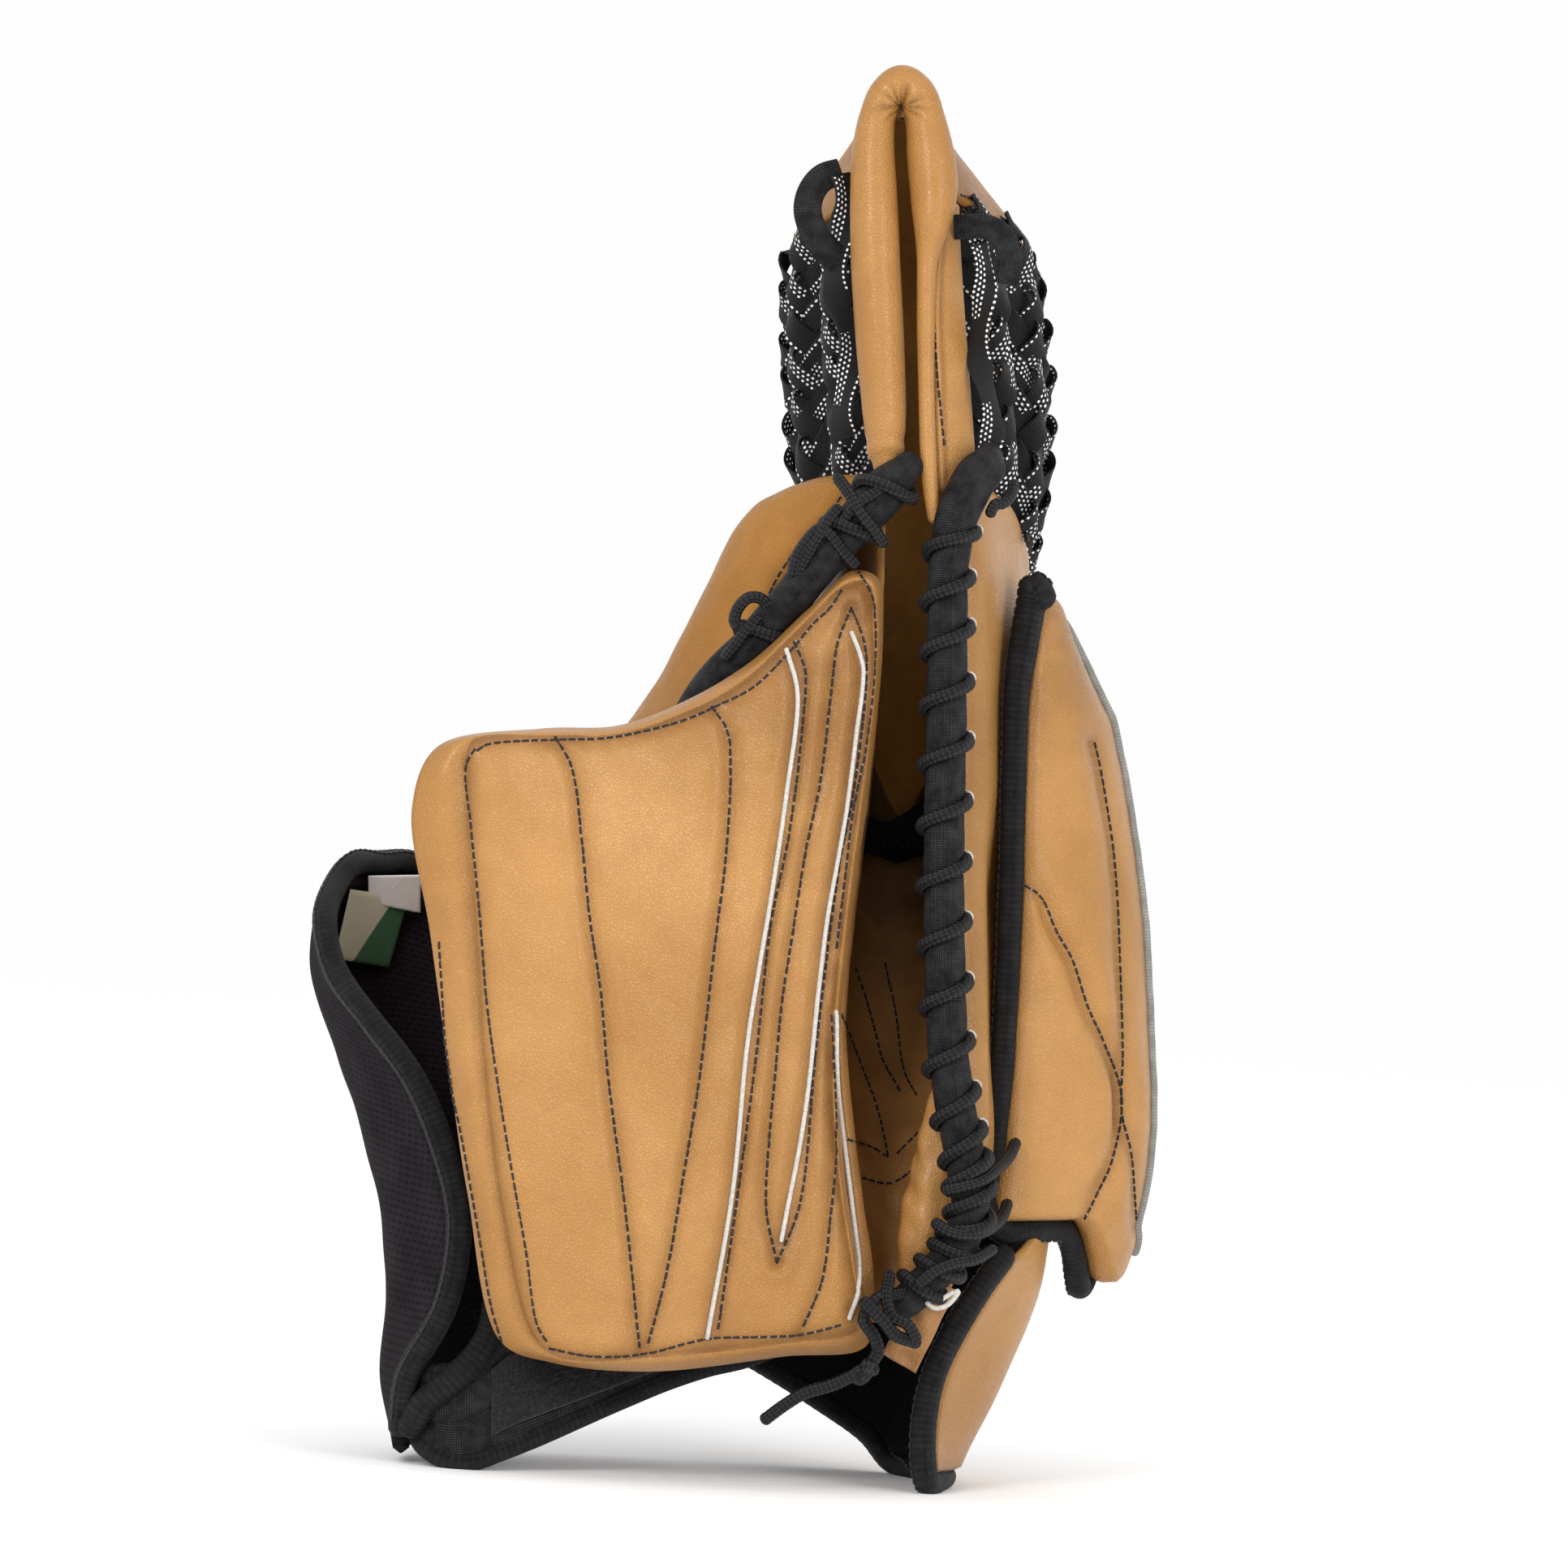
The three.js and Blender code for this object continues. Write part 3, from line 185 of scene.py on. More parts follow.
def column(xs, ys):
    """A column of a table as a smooth function of its first column."""
    xs = np.asarray(xs, float)
    ys = np.asarray(ys, float)
    n = len(xs)
    a = np.maximum(np.arange(n) - 1, 0)
    b = np.minimum(np.arange(n) + 1, n - 1)
    slope = (ys[b] - ys[a]) / (xs[b] - xs[a])

    def value(x):
        x = np.asarray(x, float)
        i = np.clip(np.searchsorted(xs, x, side="left") - 1, 0, n - 2)
        h = xs[i + 1] - xs[i]
        t = np.clip((x - xs[i]) / h, 0, 1)
        t2 = t * t
        t3 = t2 * t
        return (
            (2 * t3 - 3 * t2 + 1) * ys[i] + (t3 - 2 * t2 + t) * h * slope[i]
            + (3 * t2 - 2 * t3) * ys[i + 1] + (t3 - t2) * h * slope[i + 1]
        )
    return value


def columns(rows):
    """Every column of a table but the first, each as a smooth function of the first."""
    rows = np.asarray(rows, float)
    return [column(rows[:, 0], rows[:, k]) for k in range(1, rows.shape[1])]


def numbered(rows):
    """Every column of a table as a smooth function of the row's number."""
    return columns([(i, *row) for i, row in enumerate(rows)])


def smooth(x, a, b):
    """0 up to a and 1 from b, smooth between."""
    t = np.clip((np.asarray(x, float) - a) / (b - a), 0, 1)
    return t * t * (3 - 2 * t)


def lerp(a, b, t):
    return a + (b - a) * t


def bell(x, width):
    """1 where x is 0, falling away over the width on both sides."""
    return np.exp(-((x / width) ** 2))


def edge_fade(u, v, rate):
    """0 at the edges of a grid and 1 inside it."""
    return np.clip(np.minimum(u, 1 - u) * rate, 0, 1) * np.clip(np.minimum(v, 1 - v) * rate, 0, 1)


def at(x, y, z):
    return np.stack(np.broadcast_arrays(np.asarray(x, float), y, z), -1)


def laid(pixels, depths):
    """A line of photograph pixels as points in space, at given depths."""
    flat = drawn(pixels)
    return seen(at(flat[:, 0], depths, flat[:, 1]))


def unit(v):
    return v / np.maximum(np.linalg.norm(v, axis=-1, keepdims=True), 1e-9)


def distance(points, line):
    """How far each point of the plane is from a line of points."""
    best = np.full(points.shape[:-1], 1e9)
    for a, b in zip(line[:-1], line[1:]):
        d = b - a
        t = np.clip(((points - a) @ d) / max(d @ d, 1e-9), 0, 1)
        best = np.minimum(best, np.linalg.norm(points - a - t[..., None] * d, axis=-1))
    return best


def gap_to(flat, pixels):
    """How far points of the picture plane are from a line of photograph pixels."""
    return distance(flat, Curve(drawn(pixels)).even(4))


def wobble(points, size, seed):
    """A smooth, repeatable unevenness between -1 and 1, about size millimetres from crest to crest."""
    noise = np.random.default_rng(seed)
    total = 0
    for _ in range(7):
        way = unit(noise.normal(size=3)) * 2 * math.pi / size * noise.uniform(0.6, 1.5)
        total = total + np.sin(points @ way + noise.uniform(0, 6.28))
    return total / 4


# Finishes. Every pattern is in nodes: object coordinates for leather, surface lengths in mm for cloth.
LACE_WIDE = 4.2
BRAID_PITCH = 3.2  # the braid's spacing along the round lace


class Finish:
    """A material under construction, with the nodes that its patterns need."""

    def __init__(self, name):
        self.material = bpy.data.materials.new(name)
        self.material.use_nodes = True
        self.tree = self.material.node_tree
        self.shader = self.tree.nodes["Principled BSDF"]
        self.place = self.node("ShaderNodeTexCoord", 3)
        lengths = self.node("ShaderNodeUVMap", uv_map="lengths")
        split = self.tree.nodes.new("ShaderNodeSeparateXYZ")
        self.tree.links.new(lengths, split.inputs[0])
        self.along = split.outputs[0]
        self.across = split.outputs[1]

    def node(self, kind, out=0, inputs=None, **settings):
        node = self.tree.nodes.new(kind)
        for key, value in settings.items():
            setattr(node, key, value)
        for key, value in (inputs or {}).items():
            if isinstance(value, bpy.types.NodeSocket):
                self.tree.links.new(value, node.inputs[key])
            else:
                node.inputs[key].default_value = value
        return node.outputs[out]

    def calc(self, what, a, b=0.0, c=0.0):
        return self.node("ShaderNodeMath", operation=what, inputs={0: a, 1: b, 2: c})

    def times(self, a, b):
        return self.calc("MULTIPLY", a, b)

    def noise(self, scale, detail):
        inputs = {"Vector": self.place, "Scale": scale, "Detail": detail}
        return self.node("ShaderNodeTexNoise", 0, inputs)

    def cell_edges(self, scale):
        """How far a place is from the edges of a pattern of small cells."""
        inputs = {"Vector": self.place, "Scale": scale}
        return self.node("ShaderNodeTexVoronoi", 0, inputs, feature="DISTANCE_TO_EDGE")

    def band(self, value, low, high):
        """0 below low, 1 above high, smooth between."""
        inputs = {"Value": value, "From Min": low, "From Max": high}
        return self.node("ShaderNodeMapRange", 0, inputs, interpolation_type="SMOOTHSTEP")

    def mix(self, share, a, b):
        def full(x):
            return x if isinstance(x, bpy.types.NodeSocket) else (*x, 1)
        inputs = {0: share, 6: full(a), 7: full(b)}
        return self.node("ShaderNodeMix", 2, inputs, data_type="RGBA")

    def wave(self, value, length):
        return self.calc("SINE", self.times(value, 2 * math.pi / length))

    def weave(self, length):
        """Two sets of slanting strands, crossing each other."""
        a = self.wave(self.calc("ADD", self.along, self.across), length)
        b = self.wave(self.calc("SUBTRACT", self.along, self.across), length)
        return self.times(a, b)

    def spots(self, pitch, row_pitch, shift, half_long, half_wide, low, high):
        """1 in rows of small ovals, each row shifted along from the one before it, and 0 between them."""
        row = self.calc("DIVIDE", self.across, row_pitch)
        moved = self.times(self.calc("FLOOR", row), shift)
        du = self.calc("FRACT", self.calc("ADD", self.calc("DIVIDE", self.along, pitch), moved))
        du = self.times(self.calc("SUBTRACT", du, 0.5), pitch / half_long)
        dv = self.calc("SUBTRACT", self.calc("FRACT", row), 0.5)
        dv = self.times(dv, row_pitch / half_wide)
        r2 = self.calc("ADD", self.times(du, du), self.times(dv, dv))
        return self.calc("SUBTRACT", 1.0, self.band(r2, low, high))

    def attribute(self, name):
        return self.node("ShaderNodeAttribute", 2, attribute_name=name)

    def bump(self, height, depth, strength):
        inputs = {"Height": height, "Distance": depth, "Strength": strength}
        self.use("Normal", self.node("ShaderNodeBump", 0, inputs))

    def use(self, socket, value):
        if isinstance(value, bpy.types.NodeSocket):
            self.tree.links.new(value, self.shader.inputs[socket])
        else:
            self.shader.inputs[socket].default_value = value

    def looks(self, colour, rough, specular=0.5):
        self.use("Base Color", colour)
        self.use("Roughness", rough)
        self.use("Specular IOR Level", specular)


def leather(name, light, deep, burnt, gloss=0.37, creases=0.3, shine=1.0):
    """Grained leather: light and deep in patches, and burnt in its pits and where a mesh attribute marks it:
    wear, and on the palm's inside and the T's bend, painted shade.
    """
    f = Finish(name)
    patches = f.band(f.noise(13, 3), 0.3, 0.7)
    mottle = f.band(f.noise(120, 5), 0.3, 0.72)
    colour = f.mix(patches, light, deep)
    colour = f.mix(f.times(mottle, 0.09), colour, burnt)
    # The mesh's darkening attribute holds wear, and on some pieces painted shade.
    wear_and_shade = f.times(f.attribute("wear_and_shade"), f.band(f.noise(60, 3), 0.0, 0.6))
    colour = f.mix(wear_and_shade, colour, burnt)
    pits = f.band(f.cell_edges(860), 0.0, 0.2)
    colour = f.mix(f.calc("MULTIPLY_ADD", pits, -0.09, 0.09), colour, burnt)
    f.looks(colour, f.calc("MULTIPLY_ADD", f.noise(260, 3), 0.24, gloss - 0.12), 0.38 * shine)
    f.use("Specular Tint", (1.0, 0.87, 0.68, 1))
    f.use("Coat Weight", 0.13 * shine)
    f.use("Coat Roughness", 0.26)
    soft = f.calc("MULTIPLY_ADD", f.noise(75, 3), creases, f.times(pits, 0.34))
    height = f.calc("MULTIPLY_ADD", f.noise(1300, 2), 0.24, soft)
    f.bump(height, 0.0012, 0.44)
    return f.material


def cloth(name, base, pale, ribs=0.0, weave=0.9, rough=0.6, depth=0.0004):
    """Woven nylon: fine weave, and ribs across it where ribs is their spacing."""
    f = Finish(name)
    height = f.weave(weave)
    if ribs:
        height = f.calc("MULTIPLY_ADD", f.wave(f.along, ribs), 0.45, height)
    shade = f.band(height, -0.6, 1.0)
    shade = f.times(shade, f.band(f.noise(220, 3), 0.2, 0.75))
    f.looks(f.mix(shade, base, pale), rough, 0.22)
    f.bump(f.calc("MULTIPLY_ADD", f.noise(900, 2), 0.5, height), depth, 0.6)
    return f.material


def braid(name, base, pale):
    """Round lace: two sets of strands crossing round it."""
    f = Finish(name)
    height = f.weave(BRAID_PITCH)
    strands = f.wave(f.calc("MULTIPLY_ADD", f.across, 1.0, f.times(f.along, 2.0)), 0.55)
    shade = f.band(height, -0.5, 0.9)
    f.looks(f.mix(shade, base, pale), 0.55, 0.28)
    f.bump(f.calc("MULTIPLY_ADD", strands, 0.18, height), 0.0005, 0.6)
    return f.material


def dotted(name, base, pale, white):
    """Flat pocket lace: a dark diagonal weave with rows of white tracer stitches."""
    f = Finish(name)
    weave = f.weave(1.5)
    colour = f.mix(f.band(weave, -0.5, 1), base, pale)
    dot = f.spots(pitch=1.95, row_pitch=1.5, shift=0.5, half_long=0.52, half_wide=0.43, low=0.55, high=1.25)
    wide = f.calc("GREATER_THAN", f.across, 0.0)
    wide = f.times(wide, f.calc("GREATER_THAN", f.wave(f.along, 53.0), 0.1))
    narrow = f.calc("LESS_THAN", f.across, -3.0)
    narrow = f.times(narrow, f.calc("GREATER_THAN", f.wave(f.along, 71.0), -0.4))
    rows = f.calc("MAXIMUM", wide, narrow)
    inside = f.calc("LESS_THAN", f.calc("ABSOLUTE", f.across), 4.6)
    mask = f.times(f.times(dot, rows), inside)
    f.looks(f.mix(mask, colour, white), 0.6, 0.28)
    f.bump(f.calc("MULTIPLY_ADD", mask, 0.8, weave), 0.0004, 0.6)
    return f.material


def netting(name, base, pale, hole):
    """Knitted cloth with short rows of open stitches."""
    f = Finish(name)
    slot = f.spots(pitch=3.1, row_pitch=2.4, shift=0.37, half_long=1.3, half_wide=0.55, low=0.4, high=1.3)
    knit = f.times(f.wave(f.along, 0.8), f.wave(f.across, 0.8))
    shade = f.band(f.calc("MULTIPLY_ADD", knit, 0.35, f.noise(90, 4)), 0.2, 0.9)
    colour = f.mix(f.times(slot, 0.75), f.mix(shade, base, pale), hole)
    f.looks(colour, 0.85, 0.1)
    height = f.calc("MULTIPLY_ADD", knit, 0.2, f.times(slot, -1.0))
    f.bump(height, 0.0005, 0.5)
    return f.material


def felt(name, base, pale, rough=0.95, scale=700):
    """A plain fibrous finish: felt, satin or thread, by its colours and roughness."""
    f = Finish(name)
    fibres = f.band(f.noise(scale, 5), 0.25, 0.75)
    f.looks(f.mix(fibres, base, pale), rough, 0.3)
    f.use("Sheen Weight", 0.2)
    f.bump(f.noise(scale * 1.6, 4), 0.0005, 0.5)
    return f.material


def label_finish(name, cream, green):
    """A woven label: cream, with its far corner green."""
    f = Finish(name)
    weave = f.times(f.wave(f.along, 0.7), f.wave(f.across, 0.7))
    side = f.calc("SUBTRACT", f.along, f.calc("MULTIPLY_ADD", f.across, 0.75, 2.0))
    colour = f.mix(f.band(side, -0.2, 0.2), cream, green)
    shaded = f.mix(0.3, colour, (0.05, 0.05, 0.05))
    f.looks(f.mix(f.band(weave, -0.4, 1), shaded, colour), 0.85)
    f.bump(weave, 0.0003, 0.5)
    return f.material


def thread(name, base, pale, fleck):
    """Stitching: dark, and pale where it goes into its needle holes."""
    f = Finish(name)
    fibres = f.band(f.noise(1500, 4), 0.25, 0.75)
    end = f.band(f.calc("ABSOLUTE", f.along), 0.40, 0.47)
    some = f.band(f.noise(400, 2), 0.44, 0.54)
    colour = f.mix(f.times(end, some), f.mix(fibres, base, pale), fleck)
    f.looks(colour, 0.6, 0.3)
    return f.material


TAN = leather("tan_leather", (0.436, 0.219, 0.066), (0.340, 0.158, 0.038), (0.15, 0.058, 0.011))
MATT_TAN = leather("matt_tan_leather", (0.448, 0.208, 0.047), (0.344, 0.150, 0.028), (0.15, 0.058, 0.011),
                   shine=0.3)
# The palm's inside: the tan leather with a far darker burnt colour, a copy painted for the shade inside the
# pocket.
SHADED_INNER_LEATHER = leather("inner_leather_painted_shade", (0.44, 0.215, 0.066), (0.34, 0.155, 0.042), (0.055, 0.022, 0.006), 0.36, 1.1)
HEEL = leather("heel_leather", (0.45, 0.232, 0.086), (0.34, 0.160, 0.054), (0.12, 0.05, 0.015), 0.26, 1.6)
TAPE = cloth("woven_tape", (0.003, 0.003, 0.004), (0.024, 0.023, 0.026), ribs=2.2, weave=1.1)
ROLL_CLOTH = cloth("roll_cloth", (0.003, 0.003, 0.004), (0.055, 0.053, 0.057), weave=1.5, depth=0.0009)
LINING = cloth("lining_cloth", (0.002, 0.002, 0.002), (0.006, 0.006, 0.007), weave=1.2, rough=0.95)
MESH = netting("mesh_cloth", (0.008, 0.0055, 0.008), (0.020, 0.015, 0.020), (0.002, 0.002, 0.002))
HOOK = felt("hook_and_loop", (0.002, 0.002, 0.002), (0.018, 0.017, 0.019), scale=1100)
LACE = braid("braided_lace", (0.002, 0.002, 0.003), (0.020, 0.020, 0.022))
NET = dotted("flat_lace", (0.002, 0.002, 0.002), (0.012, 0.011, 0.012), (0.9, 0.91, 0.92))
THREAD = thread("dark_thread", (0.004, 0.004, 0.007), (0.016, 0.016, 0.022), (0.45, 0.42, 0.38))
DARK_THREAD = felt("black_thread", (0.003, 0.003, 0.004), (0.012, 0.012, 0.014), 0.7)
PIPING = felt("white_felt", (0.39, 0.37, 0.335), (0.57, 0.55, 0.505), scale=1300)
RIBBED = cloth("grey_piping", (0.24, 0.23, 0.21), (0.48, 0.47, 0.44), ribs=1.1, rough=0.9)
LABEL = label_finish("label_cloth", (0.92, 0.92, 0.73), (0.055, 0.21, 0.10))
TAG = felt("tag_satin", (0.92, 0.93, 0.95), (0.97, 0.97, 0.98), rough=0.45, scale=300)


# Meshes.
def piece(name, points, faces, finish, nodes=(), lengths=None, wear_and_shade=None, inside_finish=None, inside_from=0):
    """A mesh object in the row's frame from upright millimetres, riding on the glove."""
    mesh = bpy.data.meshes.new(name)
    mesh.from_pydata(world(points).tolist(), [], [list(map(int, f)) for f in faces])
    mesh.polygons.foreach_set("use_smooth", [True] * len(mesh.polygons))
    if lengths is not None:
        layer = mesh.uv_layers.new(name="lengths")
        corners = np.zeros(len(mesh.loops), int)
        mesh.loops.foreach_get("vertex_index", corners)
        layer.data.foreach_set("uv", np.asarray(lengths, float)[corners].ravel())
    # Darkening for the leather: wear, and painted shade on some pieces.
    if wear_and_shade is not None:
        layer = mesh.attributes.new("wear_and_shade", "FLOAT", "POINT")
        layer.data.foreach_set("value", np.asarray(wear_and_shade, float).ravel())
    mesh.materials.append(finish)
    if inside_finish is not None:
        mesh.materials.append(inside_finish)
        side = (np.arange(len(mesh.polygons)) >= inside_from).astype(int)
        mesh.polygons.foreach_set("material_index", side)
    mesh.update()
    thing = bpy.data.objects.new(name, mesh)
    scene.collection.objects.link(thing)
    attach(thing, "root")
    if nodes:
        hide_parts(*nodes)
    return thing


class Skin:
    """A surface in upright millimetres that lines of the photograph can be laid on."""

    def __init__(self, points, faces):
        self.tree = BVHTree.FromPolygons(points.tolist(), [list(map(int, f)) for f in faces])

    def behind(self, x, z):
        """Where the view through a place on the picture plane meets the surface, and the normal there."""
        start = Vector(EYE)
        return self.tree.ray_cast(start, Vector((x, PICTURE_Y, z)) - start)[:2]

    def lay(self, pixels):
        """Points and normals where the view through a line of pixels meets the surface."""
        points = []
        normals = []
        for x, z in Curve(drawn(pixels)).even(0.6):
            hit, normal = self.behind(x, z)
            if hit is not None:
                if normal.y > 0:
                    normal = -normal
                points.append(hit)
                normals.append(normal)
        return np.array(points), np.array(normals)


def quads(ids):
    """The faces between the points of a grid."""
    return np.stack([ids[:-1, :-1], ids[1:, :-1], ids[1:, 1:], ids[:-1, 1:]], -1).reshape(-1, 4)


def rim_of(ids):
    """The points round the edge of a grid, in order."""
    return np.concatenate([ids[:, 0], ids[-1, 1:], ids[-2::-1, -1], ids[0, -2:0:-1]])


def ringed(ids):
    """The faces of a tube whose rings of points are the rows of a grid."""
    return quads(np.concatenate([ids, ids[:, :1]], 1))


def normals_of(p):
    return unit(np.cross(np.gradient(p, axis=0), np.gradient(p, axis=1)))


def lengths_of(p):
    """Each grid point's distance along both ways of the grid, in millimetres."""
    a = np.zeros(p.shape[:2])
    b = np.zeros(p.shape[:2])
    a[1:] = np.cumsum(np.linalg.norm(np.diff(p, axis=0), axis=-1).mean(1))[:, None]
    b[:, 1:] = np.cumsum(np.linalg.norm(np.diff(p, axis=1), axis=-1).mean(0))[None]
    return np.stack([a - a.mean(), b - b.mean()], -1)


def wall(p, outer, inner, rounding=2.5):
    """A closed sheet over a grid of points, with rounded edges. Gives its points and faces."""
    nu, nv = p.shape[:2]
    n = normals_of(p)
    reach = lengths_of(p)
    a = reach[..., 0]
    b = reach[..., 1]
    near = np.minimum(np.minimum(a - a.min(), a.max() - a), np.minimum(b - b.min(), b.max() - b))
    part = np.sqrt(np.clip(1 - (1 - np.clip(near / rounding, 0, 1)) ** 2, 0.02, 1))
    middle = (outer - inner) / 2
    front = p + n * (middle + (outer - middle) * part)[..., None]
    back = p + n * (middle - (middle + inner) * part)[..., None]
    ids = np.arange(nu * nv).reshape(nu, nv)
    rear = ids + nu * nv
    faces = [quads(ids), quads(rear)[:, ::-1]]
    ring = rim_of(ids)
    after = np.roll(ring, -1)
    faces.append(np.stack([after, ring, ring + nu * nv, after + nu * nv], -1))
    points = np.concatenate([front.reshape(-1, 3), back.reshape(-1, 3)])
    lengths = np.concatenate([reach.reshape(-1, 2)] * 2)
    return points, np.concatenate(faces), lengths


def sweep(path, radius, sides, shape=None):
    """A closed tube along points. Its section starts at the side that faces the front.
    radius is a number or one for each point; shape adds to it by place along and angle."""
    path = np.asarray(path, float)
    n = len(path)
    t = unit(np.gradient(path, axis=0))
    across = np.zeros_like(path)
    v = unit(FRONT - t[0] * (FRONT @ t[0]))
    for i in range(n):
        v = unit(v - t[i] * (v @ t[i]))
        pull = FRONT - t[i] * (FRONT @ t[i])
        v = unit(v + 0.2 * pull)
        across[i] = v
    other = np.cross(t, across)
    s = run_of(path)
    angle = np.linspace(0, 2 * math.pi, sides, endpoint=False)
    r = np.broadcast_to(np.asarray(radius, float), (n,))[:, None] * np.ones(sides)
    if shape is not None:
        r = r + shape(s[:, None], angle[None])
    c = np.cos(angle)[None, :, None]
    w = np.sin(angle)[None, :, None]
    body = path[:, None] + across[:, None] * c * r[..., None] + other[:, None] * w * r[..., None]
    rows = []
    spots = []
    for end, i, sign in ((0, 0, -1), (1, n - 1, 1)):
        caps = [(0.45, 0.92), (0.75, 0.68), (0.92, 0.32)]
        for far, size in caps if end else caps[::-1]:
            shift = t[i] * sign * far * r[i].mean()
            rows.append(path[i] + (body[i] - path[i]) * size + shift)
            spots.append(s[i] + sign * far * r[i].mean())
    body = np.concatenate([np.array(rows[:3]), body, np.array(rows[3:])])
    s = np.concatenate([spots[:3], s, spots[3:]])
    ids = np.arange(len(body) * sides).reshape(len(body), sides)
    faces = ringed(ids)[:, ::-1].tolist() + [ids[0].tolist(), ids[-1][::-1].tolist()]
    size = float(np.mean(r))
    lengths = np.stack(np.broadcast_arrays(s[:, None], angle[None] * size), -1).reshape(-1, 2)
    return body.reshape(-1, 3), faces, lengths


def gather(parts):
    """Several meshes as one: their points, faces and lengths."""
    points = []
    faces = []
    lengths = []
    start = 0
    for p, f, uv in parts:
        points.append(p)
        lengths.append(uv)
        faces.extend([[int(k) + start for k in face] for face in f])
        start += len(p)
    return np.concatenate(points), faces, np.concatenate(lengths)


def stitching(paths, pitch=3.2, length=3.0, radius=0.37, lift=0.12):
    """Thread dashes along paths of points and normals, each dipping into the surface at its ends."""
    parts = []
    angle = np.linspace(0, 2 * math.pi, 6, endpoint=False)
    share = np.array([-0.5, -0.36, 0.0, 0.36, 0.5])
    height = np.array([-0.6, 0.25, 0.55, 0.25, -0.6]) * radius + lift
    size = np.array([0.45, 0.95, 1.0, 0.95, 0.45]) * radius
    ids = np.arange(share.size * angle.size).reshape(share.size, angle.size)
    faces = ringed(ids)[:, ::-1].tolist() + [ids[0].tolist(), ids[-1][::-1].tolist()]
    for p, n in paths:
        if len(p) < 4:
            continue
        both = resample(np.concatenate([p, n], 1), 0.35)
        step = np.linalg.norm(np.diff(both[:, :3], axis=0), axis=1).mean()
        stride = pitch / step
        for k in range(int(len(both) / stride)):
            i = k * stride + stride / 2
            if i + stride / 2 >= len(both):
                break
            spot = both[int(i)]
            a = both[int(i - stride * 0.4)][:3]
            b = both[min(int(i + stride * 0.4), len(both) - 1)][:3]
            if np.linalg.norm(b - a) > 2 * pitch:
                continue
            t = unit(b - a)
            up = unit(spot[3:] - t * (spot[3:] @ t))
            side = np.cross(t, up)
            centre = spot[:3] + t * (share * length)[:, None] + up * height[:, None]
            ring = (
                centre[:, None]
                + up * (np.cos(angle)[None, :, None] * size[:, None, None])
                + side * (np.sin(angle)[None, :, None] * size[:, None, None])
            )
            uv = np.stack(np.broadcast_arrays(share[:, None], angle[None]), -1).reshape(-1, 2)
            parts.append((ring.reshape(-1, 3), faces, uv))
    return gather(parts)


def ribbon(path, face, width, thick=1.1, crown=0.25):
    """A flat lace along points, whose broad side looks along face.
    width is one number, or one for each point."""
    t = unit(np.gradient(path, axis=0))
    n = unit(face - t * np.sum(face * t, -1, keepdims=True))
    side = np.cross(t, n)
    w = np.array([-0.5, -0.47, -0.38, -0.2, 0, 0.2, 0.38, 0.47, 0.5])
    h = np.array([0, 0.32, 0.5, 0.5 + crown * 0.6, 0.5 + crown, 0.5 + crown * 0.6, 0.5, 0.32, 0])
    across = np.outer(np.broadcast_to(width, len(path)), np.concatenate([w, w[-2:0:-1]]))
    high = np.concatenate([h, -h[-2:0:-1]]) * thick
    body = path[:, None] + side[:, None] * across[..., None] + n[:, None] * high[None, :, None]
    s = run_of(path)
    ids = np.arange(body.shape[0] * body.shape[1]).reshape(body.shape[:2])
    faces = ringed(ids).tolist() + [ids[0][::-1].tolist(), ids[-1].tolist()]
    uv = np.stack(np.broadcast_arrays(s[:, None], across), -1).reshape(-1, 2)
    return body.reshape(-1, 3), faces, uv


def build(name, mesh, finish, nodes=(), wear_and_shade=None, inside_finish=None, inside_from=0):
    points, faces, lengths = mesh
    return piece(name, points, faces, finish, nodes, lengths, wear_and_shade, inside_finish, inside_from)


# The free end of the heel lace. Its length is the photograph's.
LACE_STEP = 0.45
LACE_SIDES = 18
HEEL_TAIL = [(43.5, -74, 41.5), (36, -75, 38.2), (27, -76, 35.6), (20.5, -77, 31.8), (14.4, -78, 27.4)]


def lace_bumps(s, angle):
    across = angle * LACE_WIDE / 2
    turn_one = 2 * math.pi * (s + across) / BRAID_PITCH
    turn_two = 2 * math.pi * (s - across) / BRAID_PITCH
    return 0.13 * np.sin(turn_one) * np.sin(turn_two)


def lace(path, radius=LACE_WIDE / 2):
    return sweep(resample(path, LACE_STEP), radius, LACE_SIDES, shape=lace_bumps)


tail_mesh = sweep(Curve(HEEL_TAIL).even(LACE_STEP), LACE_WIDE / 2, LACE_SIDES, shape=lace_bumps)
tail = build("heel_lace_end", tail_mesh, LACE, ["heel_lace_tail"])


# The pocket and the palm.
POCKET = [
    (56, 56, 5, 2, -50, -38), (80, 59, 9, 5, -53, -20), (110, 60, 14, 8, -54, 3),
    (150, 57.5, 15, 11, -54, 34), (200, 59, 12, 15, -54, 64), (250, 63, 9, 20, -54, 88),
    (300, 66, 8, 28, -53, 101), (350, 67, 9, 34, -51, 104), (400, 64.5, 10, 33, -50, 92),
    (425, 62, 9.5, 28, -49, 74), (440, 60.5, 8, 18, -47, 56), (450, 60, 7, 11, -45, 38),
    (460, 60, 5, 6, -42, 12), (466, 60, 3.4, 3, -39, -12), (469, 60, 2, 1, -37, -32),
]
pocket_x, pocket_rim, pocket_belly, pocket_rim_y, pocket_fold_y = columns(POCKET)
PALM_GRID = (110, 120)
PALM_LOW = 58  # height of the palm's lower edge


def pocket_point(angle, z):
    """A point of the pocket's wall: 0 degrees at the right rim, 90 at the fold and 180 at the left rim."""
    a = np.radians(angle)
    x = pocket_x(z) + pocket_rim(z) * np.cos(a) + pocket_belly(z) * np.sin(2 * a)
    y = pocket_rim_y(z) + (pocket_fold_y(z) - pocket_rim_y(z)) * np.sin(a)
    return at(x, y, z)


